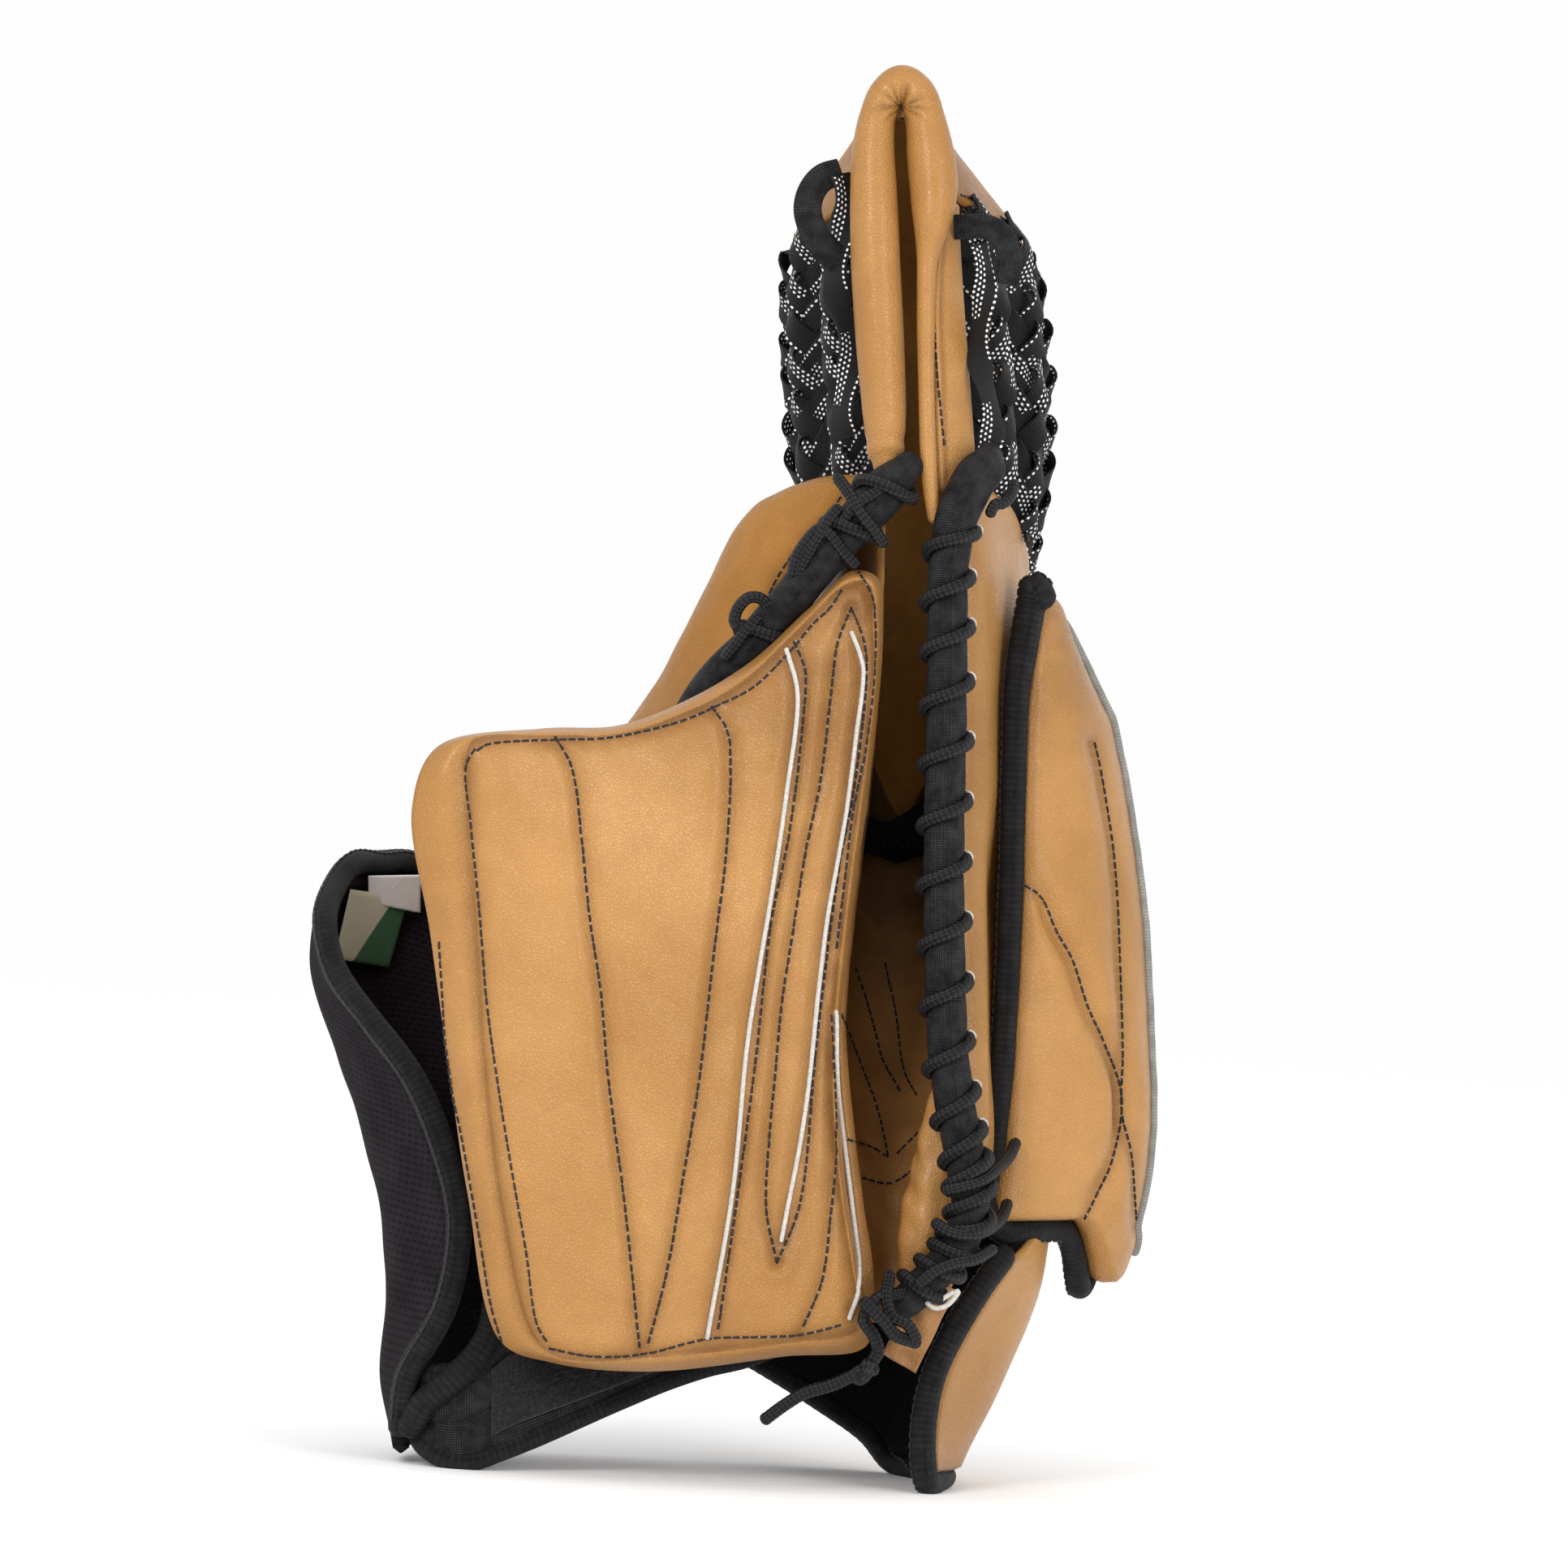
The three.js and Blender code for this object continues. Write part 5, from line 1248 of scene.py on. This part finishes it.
# The wrist strap.
STRAP = [
    (-103, -40, 26, 44), (-100, -60, 15, 38), (-86, -66, 9.2, 38), (-68, -61, 14.6, 50),
    (-41, -51, 25.6, 56), (-14, -43, 36.4, 62), (14, -39, 44, 66), (47, -37, 60, 74),
]
strap_x, strap_y, strap_low, strap_high = numbered(STRAP)


def strap_point(u, v):
    row = u * (len(STRAP) - 1)
    return at(strap_x(row), strap_y(row), lerp(strap_low(row), strap_high(row), v))


def wrist_strap():
    u, v = uv_grid(130, 40)
    p = strap_point(u, v)
    fade = np.sin(math.pi * v)
    crease = bell(v - 0.42 - 0.16 * np.sin(3 * u), 0.06)
    thick = 3 + (0.7 * wobble(p, 26, 61) + 0.6 * np.sin(8 * v + 5 * u) - 1.5 * crease) * fade
    return wall(p, thick, thick, 2.6)


FOLD = [(612, 1600), (604, 1640), (586, 1672), (556, 1702), (522, 1730), (506, 1756)]
rolled("wrist_wrap_fold", laid(FOLD, [-64, -66, -68, -69, -68.5, -66]), 4.6)
strap_piece = build("wrist_strap_cloth", wrist_strap(), ROLL_CLOTH, ["wrist_strap"])
tuft_u, tuft_v = uv_grid(90, 44)
tufts = strap_point(lerp(0.36, 0.66, tuft_u), lerp(0.30, 0.97, tuft_v))
fuzz = np.random.default_rng(64).uniform(-0.55, 0.75, tuft_u.shape)
fuzz = fuzz * (np.sin(math.pi * tuft_u) * np.sin(math.pi * tuft_v)) ** 0.3
build("strap_hook_and_loop", wall(tufts, 3.7 + fuzz, -2.4, 1.2), HOOK)
strap_edge = [on_surface(strap_point, u, 1) + np.array([0, 0, BINDING - TUCK])
              for u in (0, 0.1, 0.2, 0.3, 0.4, 0.5)]
low_edge = [on_surface(strap_point, u, 0) + np.array([0, -1.4, 3.2]) for u in np.linspace(0.02, 0.98, 14)]
rolled("wrist_strap_hem", low_edge, 3.4)
edge_stitches.append(binding("wrist_strap_edge", strap_edge, [BINDING] * 2, "wrist_strap_binding", 1.2))

# The panel over the back of the hand.
HAND_BACK = [
    (78, 92, 67, 42, 68, -26, 54), (104, 105, 79, 44, 86, -26, 57.5), (140, 109, 92, 44, 102, -27, 60.5),
    (180, 109, 103, 48, 116, -28, 62), (210, 106, 108, 52, 122, -6, 63), (240, 102, 109, 54, 122, 3, 63),
]
QUILT_PITCH = 34


def hand_back():
    u, v = uv_grid(100, 90)
    p = surface_of(HAND_BACK)(u, lerp(HAND_BACK[0][0], HAND_BACK[-1][0], v))
    reach = lengths_of(p)
    gap = np.abs((reach[..., 0] / QUILT_PITCH + 50.5) % 1 - 0.5) * QUILT_PITCH
    quilt = -1.2 * bell(gap, 1.8)
    outer = 4 + (quilt + 0.4 * wobble(p, 45, 71)) * edge_fade(u, v, 12)
    mid = p + 2 * normals_of(p)
    edge = np.concatenate([mid[4:-4:12, 0], mid[-1, 4:-4:12], mid[-4:4:-12, -1], mid[0, -4:4:-12]])
    return wall(p, outer, 0, 2.5), np.concatenate([edge, edge[:1]])


hand_mesh, hand_edge = hand_back()
hand_piece = build("hand_back_cloth", hand_mesh, MESH, ["hand_back"])
rolled("hand_back_edge", hand_edge, 3.1, 1.4, 18)

# The rim rolls: cloth over a core, drawn in by every turn of lace.
PERIMETER_ROLL = [
    (88.6, -47, 346, 3.5), (87.2, -51, 342, 6), (83.2, -55, 337, 6.4), (78, -60, 326, 6.2),
    (75, -62, 311, 5.8), (74.3, -62.5, 281, 5.8), (74, -62.5, 254, 5.8), (73.4, -62.5, 227, 5.8),
    (73.2, -62.5, 200, 5.8), (73.7, -62.5, 173, 5.8), (74.8, -62.5, 146, 5.8), (77.5, -62.5, 127, 5.8),
    (81, -62.5, 108, 5.8), (81.8, -62, 96, 5.6), (79, -61, 86, 5.4), (72, -60, 76, 5.2), (64, -59, 68, 5),
    (58, -58, 62, 4),
]
THUMB_RIM = [
    (61.5, -58, 342, 4), (56, -60, 336, 6.4), (49.5, -61, 329, 6.6), (39.5, -61.5, 318, 5.8),
    (28.8, -61, 305.5, 5.7), (18.4, -59.5, 292.8, 5.7), (7.6, -58, 280.6, 5.7), (-3, -56, 270, 5.7),
    (-12, -53, 258, 4.6),
]
TURN_FIRST = 48  # the angles about the roll at which a turn of lace starts and ends
TURN_LAST = -215
TURN_RADIUS = 5.0  # of the rim's roll, where it is drawn in by a turn
TURN_DROP = 12  # how far a turn goes along the roll
TURN_HEIGHTS = [317, 301, 284.5, 266.5, 247, 227, 207, 187, 167, 147, 130, 117, 108, 99, 90]


def tube_line(rows, step=0.7):
    """A table of points and radii as even points along a curve, the radius at each, and the curve."""
    rows = np.asarray(rows, float)
    curve = Curve(rows[:, :3])
    t = np.linspace(0, 1, 60 * len(rows))
    p = curve.at(t)
    r = column(np.arange(len(rows)), rows[:, 3])(t * (len(rows) - 1))
    both = resample(np.concatenate([p, r[:, None]], 1), step)
    return both[:, :3], both[:, 3], curve


def shares_at(curve, heights):
    """How far along a curve its given heights are, from 0 to 1."""
    t = np.linspace(0, 1, 4000)
    z = curve.at(t)[:, 2]
    return [float(t[np.argmin(np.abs(z - h))]) for h in heights]


def roll(rows, tight, name, node):
    line, r, curve = tube_line(rows)
    run = run_of(line)
    spots = [run[np.argmin(np.linalg.norm(line - curve.at(t)[0], axis=1))] for t in tight]

    def drawn_in(s, angle):
        turned = (angle + math.pi) % (2 * math.pi) - math.pi
        k = (math.radians(90 + TURN_FIRST) + turned) / math.radians(TURN_FIRST - TURN_LAST)
        pull = 0
        for spot in spots:
            gap = s - spot - TURN_DROP * (k - 0.5)
            pull = pull - 1.5 * bell(gap, 2.3)
        tuck = -0.4 * np.exp(-((turned - 0.35) ** 2) / 0.012)
        hem_edge = -0.35 * np.exp(-((turned + 0.95) ** 2) / 0.02)
        return 0.95 + np.maximum(pull, -1.7) + tuck + hem_edge + 0.12 * np.sin(s / 3.1 + angle * 3)
    build(name, sweep(line, r, 32, shape=drawn_in), ROLL_CLOTH, [node])
    return curve


roll_curve = tube_line(PERIMETER_ROLL)[2]
turn_shares = shares_at(roll_curve, TURN_HEIGHTS)
roll(PERIMETER_ROLL, turn_shares, "rim_roll", "perimeter_roll")
thumb_shares = (0.16, 0.34, 0.68)
thumb_curve = roll(THUMB_RIM, thumb_shares, "thumb_rim_roll", "thumb_roll")


# Round lace: the turns round the rim, the thumb's ties and the heel.
def frame_at(curve, share):
    """A place on a curve, and the directions along it, to its front and to its right."""
    along = unit(curve.at(share + 1e-4)[0] - curve.at(share - 1e-4)[0])
    front = unit(FRONT + along * along[1])
    return curve.at(share)[0], along, front, np.cross(front, along)


def turn_path(curve, share, radius, first=TURN_FIRST, last=TURN_LAST, drop=TURN_DROP):
    """One open turn of round lace about a roll, from one angle to another and dropping along it."""
    centre, along, front, right = frame_at(curve, share)
    reach = radius + GAP + LACE_WIDE / 2
    k = np.linspace(0, 1, 40)
    a = np.radians(lerp(first, last, k))
    return (
        centre + right * (np.cos(a) * reach)[:, None] - front * (np.sin(a) * reach)[:, None]
        + along * (drop * (k - 0.5))[:, None]
    )


def knot(centre, size, seed):
    """A small overhand knot: a lace wound in a tight trefoil."""
    t = np.linspace(0, 2 * math.pi, 90)
    p = np.stack([np.sin(t) + 2 * np.sin(2 * t), np.cos(t) - 2 * np.cos(2 * t), -np.sin(3 * t)], -1)
    turn_about = np.linalg.qr(np.random.default_rng(seed).normal(size=(3, 3)))[0]
    return np.asarray(centre) + (p * size / 3) @ turn_about.T


def loose_lace(pixels, depths, radius=2.0):
    """Round lace along a line of photograph pixels, at depths from its first point to its last."""
    y = np.interp(np.linspace(0, 1, len(pixels)), np.linspace(0, 1, len(depths)), depths)
    return lace(Curve(laid(pixels, y)).even(LACE_STEP), radius)


THUMB_LACES = {
    "tip": [
        ([(1098, 592), (1080, 606), (1058, 620), (1040, 640)], (-64, -69.5, -68)),
        ([(1033, 590), (1045, 606), (1062, 634), (1078, 654), (1087, 668)], (-64, -71, -69)),
    ],
    "middle": [
        ([(1052, 694), (1036, 676), (1022, 658), (1010, 652), (993, 668), (981, 688), (977, 706)],
         (-66, -69, -68, -65)),
        ([(1031, 628), (1021, 640), (1008, 662), (994, 686), (983, 706), (978, 714)], (-68, -70, -66, -63)),
    ],
    "low": [
        ([(950, 757), (938, 738), (922, 737), (908, 752), (906, 768), (922, 772), (938, 762)],
         (-62, -66, -66, -64)),
        ([(932, 762), (918, 778), (906, 794), (895, 808)], (-66, -66, -65)),
    ],
}
for k, share in enumerate(turn_shares):
    lace_turn = lace(turn_path(roll_curve, share, TURN_RADIUS))
    build(f"rim_lace_{k + 1:02d}", lace_turn, LACE, [f"lace_turn_{k + 1:02d}"])
for name, share, radius in zip(("tip", "middle", "low"), thumb_shares, (5.9, 5.3, 4.8)):
    parts = [lace(turn_path(thumb_curve, share, radius))]
    parts += [loose_lace(pixels, depths) for pixels, depths in THUMB_LACES[name]]
    build(f"thumb_tie_{name}", gather(parts), LACE, [f"thumb_lace_{name}"])

HEEL_LACE = [
    (60, -62.5, 68), (51, -71, 66.5), (46.6, -73.5, 60), (50, -73, 54), (51.2, -72.5, 49),
    (47.4, -73.5, 43.4),
]
HEEL_LOOP = [(47, -77.3, 65.5), (52.5, -76.8, 60), (57, -74, 54.6), (63.6, -70, 52)]
HEEL_LACES = [
    ([(1251, 1409), (1244, 1424), (1228, 1441), (1208, 1456), (1186, 1462), (1168, 1466)],
     (-30, -46, -66, -71, -70)),
    ([(1241, 1484), (1234, 1500), (1216, 1516), (1196, 1522), (1172, 1518), (1154, 1508)],
     (-31, -48, -67, -71, -69)),
    ([(1222, 1540), (1200, 1552), (1176, 1556), (1152, 1566), (1134, 1580)], (-58, -68, -70, -68)),
    ([(1096, 1572), (1092, 1600), (1100, 1622), (1118, 1632), (1128, 1648)], (-66, -73, -74, -72)),
]
low_turns = shares_at(roll_curve, (82, 76, 70))
heel_parts = [lace(Curve(HEEL_LACE).even(LACE_STEP)), lace(knot((47, -73.6, 42.6), 3.4, 4))]
heel_parts += [lace(turn_path(roll_curve, s, 4.7, 40, drop=6)) for s in low_turns]
heel_parts += [loose_lace(*line) for line in HEEL_LACES]
build("heel_lace_knotted", gather(heel_parts), LACE, ["heel_lace"])
build("heel_lace_loop_cord", lace(Curve(HEEL_LOOP).even(LACE_STEP)), LACE, ["heel_lace_loop"])
HEEL_PIPING = [
    (1143, 1606), (1152, 1612), (1166, 1609), (1178, 1597), (1181, 1591), (1172, 1594), (1158, 1602),
    (1146, 1602),
]
build("heel_piping", sweep(Curve(laid(HEEL_PIPING, -63.0)).even(0.5), 0.85, 10), PIPING)
HOOK_LACE = [(1249, 597), (1245, 611), (1236, 620), (1226, 622), (1221, 631)]
build("hook_lace", loose_lace(HOOK_LACE, (-50, -56, -60), 1.9), LACE)

# Pale edges of the lace holes beside the roll.
def hole_edge(share):
    centre, along, front, right = frame_at(roll_curve, share)
    reach = TURN_RADIUS + GAP + LACE_WIDE / 2
    spot = centre + right * reach * 0.97 - front * reach * 0.3 - along * 5.2
    a = np.linspace(-1.3, 1.5, 14)[:, None]
    return sweep(spot + right * 2.2 * np.cos(a) - along * 2.0 * np.sin(a), 0.38, 8)


build("lace_hole_edges", gather([hole_edge(s) for s in turn_shares[:12]]), PIPING)

# The pocket's T: bar, flap and stem.
T_BAR = [
    (55.2, -51, 339, 3.6), (54.2, -51.5, 346, 5.8), (53.6, -52.5, 360, 7.4), (52, -52.5, 385, 8),
    (50.8, -51.5, 410, 8.2), (50, -50, 435, 7.8), (50, -49, 447, 7.2), (51.3, -48, 458, 6.3),
    (54.5, -47, 466.3, 6), (59.6, -46, 469.9, 6.1), (64.5, -47, 466.3, 6.3), (67.3, -48, 457, 6.8),
    (68.9, -49, 446, 7.9), (70, -50, 435, 8), (69.6, -52, 424, 6.6), (67.8, -54, 410, 3.5),
    (67.4, -55, 385, 2.9), (67.8, -56, 355, 2.8), (68.8, -57, 336, 2.6), (70, -57.5, 325, 2.1),
]
T_FLAP = [
    (334, 71.6, -53, 84, -42), (350, 70.7, -53, 83.5, -41), (372, 70.3, -53, 81.8, -41),
    (400, 69.9, -53, 79.6, -41), (420, 72, -47, 78.4, -40.5), (430, 75, -44, 78, -40.5),
]


def t_bar():
    """The rolled bar of the T, with leather gathered in a fan where it turns over at the top, and painted
    shade inside the bend and in the fan's folds.
    """
    line, r, _ = tube_line(T_BAR, 0.75)
    sides = 56
    body, faces, lengths = sweep(line, r, sides)
    grid = body.reshape(-1, sides, 3)
    centre = grid.mean(1, keepdims=True)
    apex = np.array([59.4, -46.0, 455.0])
    reach = np.linalg.norm(grid - centre, axis=-1)
    inward = np.clip(np.sum(unit(grid - centre) * unit(apex - centre), -1), 0, 1)
    near = bell(np.linalg.norm(centre - np.array([59.5, -46, 466]), axis=-1), 13)
    run = run_of(centre[:, 0])[:, None]
    dx = grid[..., 0] - 59.3
    dz = grid[..., 2] - 461.5
    spread = np.arctan2(dz, dx)
    far = np.hypot(dx, dz)
    folds = bell(np.sin(spread * 5 + 0.7 * np.sin(spread * 3)), 0.5)
    fan = bell(far - 4, 4.6) * smooth(dz, -7, 0) * (grid[..., 1] < centre[..., 1])
    dent = -1.3 * fan * folds
    low_folds = bell(run - run.min() - 9, 8) * np.sin(run / 1.1 + grid[..., 1] * 0.3)
    dent = dent + 0.35 * low_folds
    soft = 0.22 * wobble(grid, 30, 81)
    grid = centre + unit(grid - centre) * (reach + dent + soft)[..., None]
    # Painted shade inside the bend near its top and in the fan's fold hollows, over a small even darkening.
    wear_and_shade = np.clip(0.5 * near * inward + 0.12 + 0.6 * fan * folds, 0, 1)
    return (grid.reshape(-1, 3), faces, lengths), wear_and_shade.ravel()


bar_mesh, bar_wear_and_shade = t_bar()
build("t_bar_leather", bar_mesh, TAN, ["t_bar"], bar_wear_and_shade)


def t_flap():
    in_x, in_y, out_x, out_y = columns(T_FLAP)
    u, v = uv_grid(24, 90)
    z = lerp(T_FLAP[0][0], T_FLAP[-1][0], v)
    p = lerp(at(in_x(z), in_y(z), z), at(out_x(z), out_y(z), z), u[..., None])
    crease = bell((u - 0.2) * 13, 1.1)
    soft = 0.25 * wobble(p, 12, 85) * (1 - np.abs(2 * u - 1))
    outer = 1.2 - 0.5 * crease + soft + 0.6 * np.sin(math.pi * u)
    return wall(p, outer, 1.2, 1), np.concatenate([(0.5 * crease).ravel()] * 2)


flap_mesh, flap_worn = t_flap()
build("t_bar_flap_leather", flap_mesh, TAN, ["t_bar_flap"], flap_worn)
flap_skin = Skin(flap_mesh[0], flap_mesh[1])


STEM_HALF = 28  # degrees of the pocket's wall on either side of its fold
CAP_HALF = 87
STEM_TOP = 468.5
FLARE = (0.7, 0.84)  # shares of the height between which the stem widens into the cap


def t_stem():
    """The leather behind the pocket's lace: a stem that widens into a cap at the top."""
    u, v = uv_grid(72, 120)
    side = 2 * u - 1
    angle = 90 + lerp(STEM_HALF, CAP_HALF, smooth(v, *FLARE)) * side
    low = palm_top(90 + STEM_HALF * side) - 5
    p = pocket_point(angle, lerp(low, STEM_TOP, v))
    outer = 2.6 + 0.35 * wobble(p, 28, 91)
    wear_and_shade = 0.14 + 0.14 * wobble(p, 33, 92) + 0.45 * smooth(np.abs(side), 0.45, 0.8)
    return wall(p, outer, 0.4, 1.2), np.clip(np.concatenate([wear_and_shade.ravel(), wear_and_shade.ravel() + 0.2]), 0, 1)


stem_mesh, stem_worn = t_stem()
build("t_stem_leather", stem_mesh, MATT_TAN, ["t_stem"], stem_worn)
stem_skin = Skin(stem_mesh[0], stem_mesh[1])
TONGUE = [(60, -42, 460, 2.4), (60, -38.5, 464.6, 3.1), (60, -34.5, 466.2, 3.3), (60, -29, 463.4, 2.6)]
tongue_line, tongue_r, _ = tube_line(TONGUE, 0.6)
build("t_stem_tongue", sweep(tongue_line, tongue_r, 20), TAN)
bar_stitches = [
    flap_skin.lay([(1152, 318), (1150, 360), (1152, 410), (1155, 460), (1159, 510), (1164, 560)]),
    stem_skin.lay([(1182, 240), (1196, 245), (1206, 251), (1214, 260)]),
]
build("t_bar_stitches", stitching(bar_stitches), THREAD)


# The pocket's lace: columns of three flat laces plaited round each other.
def cap_low(angle):
    """The height of the cap's lower edge."""
    out = np.clip((np.abs(angle - 90) - STEM_HALF) / (CAP_HALF - STEM_HALF), 0, 1)
    flare = 0.5 - np.sin(np.arcsin(1 - 2 * out) / 3)
    return lerp(palm_top(90 + STEM_HALF) + 1.2, STEM_TOP, lerp(*FLARE, flare))


PLAIT_PITCH = 42


def plait(angle, lead, seed):
    """One column of the net at an angle of the pocket."""
    parts = []
    low = float(palm_top(angle)) - 5
    high = float(cap_low(angle)) + 2
    z = np.linspace(low, high, int((high - low) / 1.2))
    centre = pocket_point(angle + 0 * z, z)
    t = unit(np.gradient(centre, axis=0))
    lateral = unit(pocket_point(angle + 1 + 0 * z, z) - centre)
    out = unit(np.cross(lateral, t))
    face = unit(out * (1 - lead) + FRONT * lead)
    wide = unit(np.cross(t, face))
    chance = np.random.default_rng(seed)
    shift = chance.uniform(0, 6.28)
    uneven = chance.uniform(0, 6.28, 4)
    free = smooth(z, low, low + 7) * (1 - smooth(z, high - 9, high - 1))
    tucked = centre + out * 1.6
    for k in range(3):
        phase = 2 * math.pi * ((z - low) / PLAIT_PITCH + k / 3) + shift + 0.35 * np.sin(z / 19 + uneven[k])
        sway = (6.6 + 1.1 * np.sin(z / 23 + uneven[3])) * np.sin(phase)
        lift = 2.3 * np.sin(2 * phase)
        path = centre + wide * sway[:, None] + face * (lift + 0.8)[:, None]
        path = lerp(tucked + wide * sway[:, None] * 0.5, path, free[:, None])
        tip = face + wide * (1.5 * np.sin(phase) ** 3 + 0.3 * np.sin(z / 11 + uneven[k]))[:, None]
        tip = lerp(out, unit(tip), free[:, None])
        parts.append(ribbon(path, unit(tip), (9.2 + 0.6 * math.sin(seed + k)) * (0.4 + 0.6 * free)))
    return parts


def hem(pixels, depths, width, sway=0.0):
    """A flat lace along a line of photograph pixels at given depths, winding from side to side by sway."""
    line = Curve(laid(pixels, depths)).even(0.8)
    turned = np.arange(len(line)) * 0.8 / 7.5
    line[:, 0] += sway * np.sin(turned)
    lean = min(1.0, sway) * np.sin(turned + 0.9)
    face = unit(FRONT + np.outer(lean, [1.1, 0, 0.3]))
    return ribbon(line, face, width)


def net(angles, leads, name, node, seed, hems):
    parts = list(hems)
    for k, (angle, lead) in enumerate(zip(angles, leads)):
        parts.extend(plait(angle, lead, seed + k))
    return build(name, gather(parts), NET, [node])


RIGHT_HEM = [(1206, 300), (1208, 350), (1211, 400), (1212, 450), (1215, 500), (1220, 560)]
LEFT_HEM = [(1036, 214), (1034, 260), (1037, 320), (1038, 400), (1043, 470), (1047, 540)]
LEFT_TURN = [(1036, 212), (1014, 219), (1000, 236), (995, 258), (1001, 282), (1014, 304), (1034, 322)]
ARCH = [
    (1176, 280), (1194, 279), (1212, 279), (1226, 284), (1236, 294), (1242, 310), (1244, 330), (1240, 350),
]
leads = (0.8, 0.65, 0.25, 0.0)
net((12, 26, 40, 54), leads, "net_lace_right", "pocket_net_right", 100, [hem(RIGHT_HEM, -45, 8.6, 1.6)])
net((168, 154, 140, 126), leads, "net_lace_left", "pocket_net_left", 200, [hem(LEFT_HEM, -44, 9.4, 2.2)])
left_turn = hem(LEFT_TURN, [-42, -45, -47, -49, -49, -48, -44], 9.4)
build("net_turn", left_turn, ROLL_CLOTH)
build("net_arch", hem(ARCH, [-46, -49, -50, -50, -49, -47, -44, -41], 8.4), ROLL_CLOTH)

# The wrinkled heel flap.
heel_u, heel_v = uv_grid(60, 60)
heel_p = at(
    lerp(53, 64, heel_u) + 13 * heel_v, -52 - 5 * np.sin(math.pi * heel_u) * heel_v,
    lerp(47, 40.5, heel_u) + 28 * heel_v,
)
heel_fold = 1.5 * wobble(heel_p, 10, 95) * np.sin(math.pi * heel_u) ** 0.5
heel_flap_mesh = wall(heel_p, 1.3 + heel_fold, 1.3 - heel_fold, 1)
build("heel_flap_leather", heel_flap_mesh, HEEL, ["heel_flap"], np.full(2 * heel_u.size, 0.3))


# The size label and the care tag, both bare, hanging in front of the wrap's far wall.
wrap_skin = Skin(wrap_mesh[0], wrap_mesh[1])


def hanging(corners, off, bow):
    """A small flat sheet behind four corners of the picture plane, just in front of the wrap."""
    a, b, c, d = (np.array(p, float) for p in corners)
    u, v = uv_grid(24, 24)
    flat = lerp(lerp(a, b, u[..., None]), lerp(d, c, u[..., None]), v[..., None])
    depth = np.full(u.shape, np.nan)
    for i, j in np.ndindex(u.shape):
        hit = wrap_skin.behind(*flat[i, j])[0]
        if hit is not None and hit.y > -12:
            depth[i, j] = hit.y
    known = ~np.isnan(depth)
    ones = np.ones(known.sum())
    fit = np.linalg.lstsq(np.stack([ones, u[known], v[known]], -1), depth[known], rcond=None)[0]
    y = fit[0] + fit[1] * u + fit[2] * v
    y = y - max(0, float((y - depth)[known].max())) - off
    y = y + bow * np.sin(math.pi * u)
    return seen(at(flat[..., 0], y, flat[..., 1]))


SIZE_LABEL = [(-129.3, 178.4), (-111.2, 175.5), (-104.5, 198.7), (-124, 201.5)]
CARE_TAG = [(-118, 197), (-100.7, 193.5), (-100.7, 206.3), (-118, 206)]
SHEETS = [
    ("size_label_cloth", hanging(SIZE_LABEL, 1.6, 0.6), 0.4, 0.4, LABEL, "label_cloth", "size_label"),
    ("care_tag_satin", hanging(CARE_TAG, 4.2, -1.2), 0.25, 0.3, TAG, "tag_cloth", "care_tag"),
]
for name, grid, half, rounding, finish, slot, node in SHEETS:
    sheet = build(name, wall(grid, half, half, rounding), finish, [node])
    reach = lengths_of(grid) / 1000

build("edge_stitches", stitching(edge_stitches, lift=0.05), DARK_THREAD)

# The floor, the soft light and the room's even light.
floor_mesh = bpy.data.meshes.new("floor")
corners = [(40 * x, 40 * y, -0.0005) for x, y in ((-1, -1), (1, -1), (1, 1), (-1, 1))]
floor_mesh.from_pydata(corners, [], [(0, 1, 2, 3)])
floor = bpy.data.objects.new("floor", floor_mesh)
scene.collection.objects.link(floor)
floor_finish = Finish("pale_floor")
floor_finish.looks((1, 1, 1, 1), 1.0, 0.0)
floor_mesh.materials.append(floor_finish.material)
room = bpy.data.worlds.new("room")
room.use_nodes = True
backdrop = room.node_tree.nodes["Background"]
backdrop.inputs["Color"].default_value = (1, 1, 1, 1)
backdrop.inputs["Strength"].default_value = 0.79
scene.world = room


def area(name, place, target, size, power):
    data = bpy.data.lights.new(name, "AREA")
    data.size = size
    data.energy = power
    lamp = bpy.data.objects.new(name, data)
    lamp.location = place
    lamp.rotation_euler = (Vector(target) - Vector(place)).to_track_quat("-Z", "Y").to_euler()
    lamp.visible_camera = False
    scene.collection.objects.link(lamp)


area("key", (-0.9, -2.3, 1.15), (0, 0, 0.25), 0.7, 27)
area("fill", (1.5, -1.9, 0.7), (0, 0, 0.22), 1.0, 17)
area("rim", (0.7, 1.6, 1.5), (0, 0, 0.3), 1.6, 2.5)
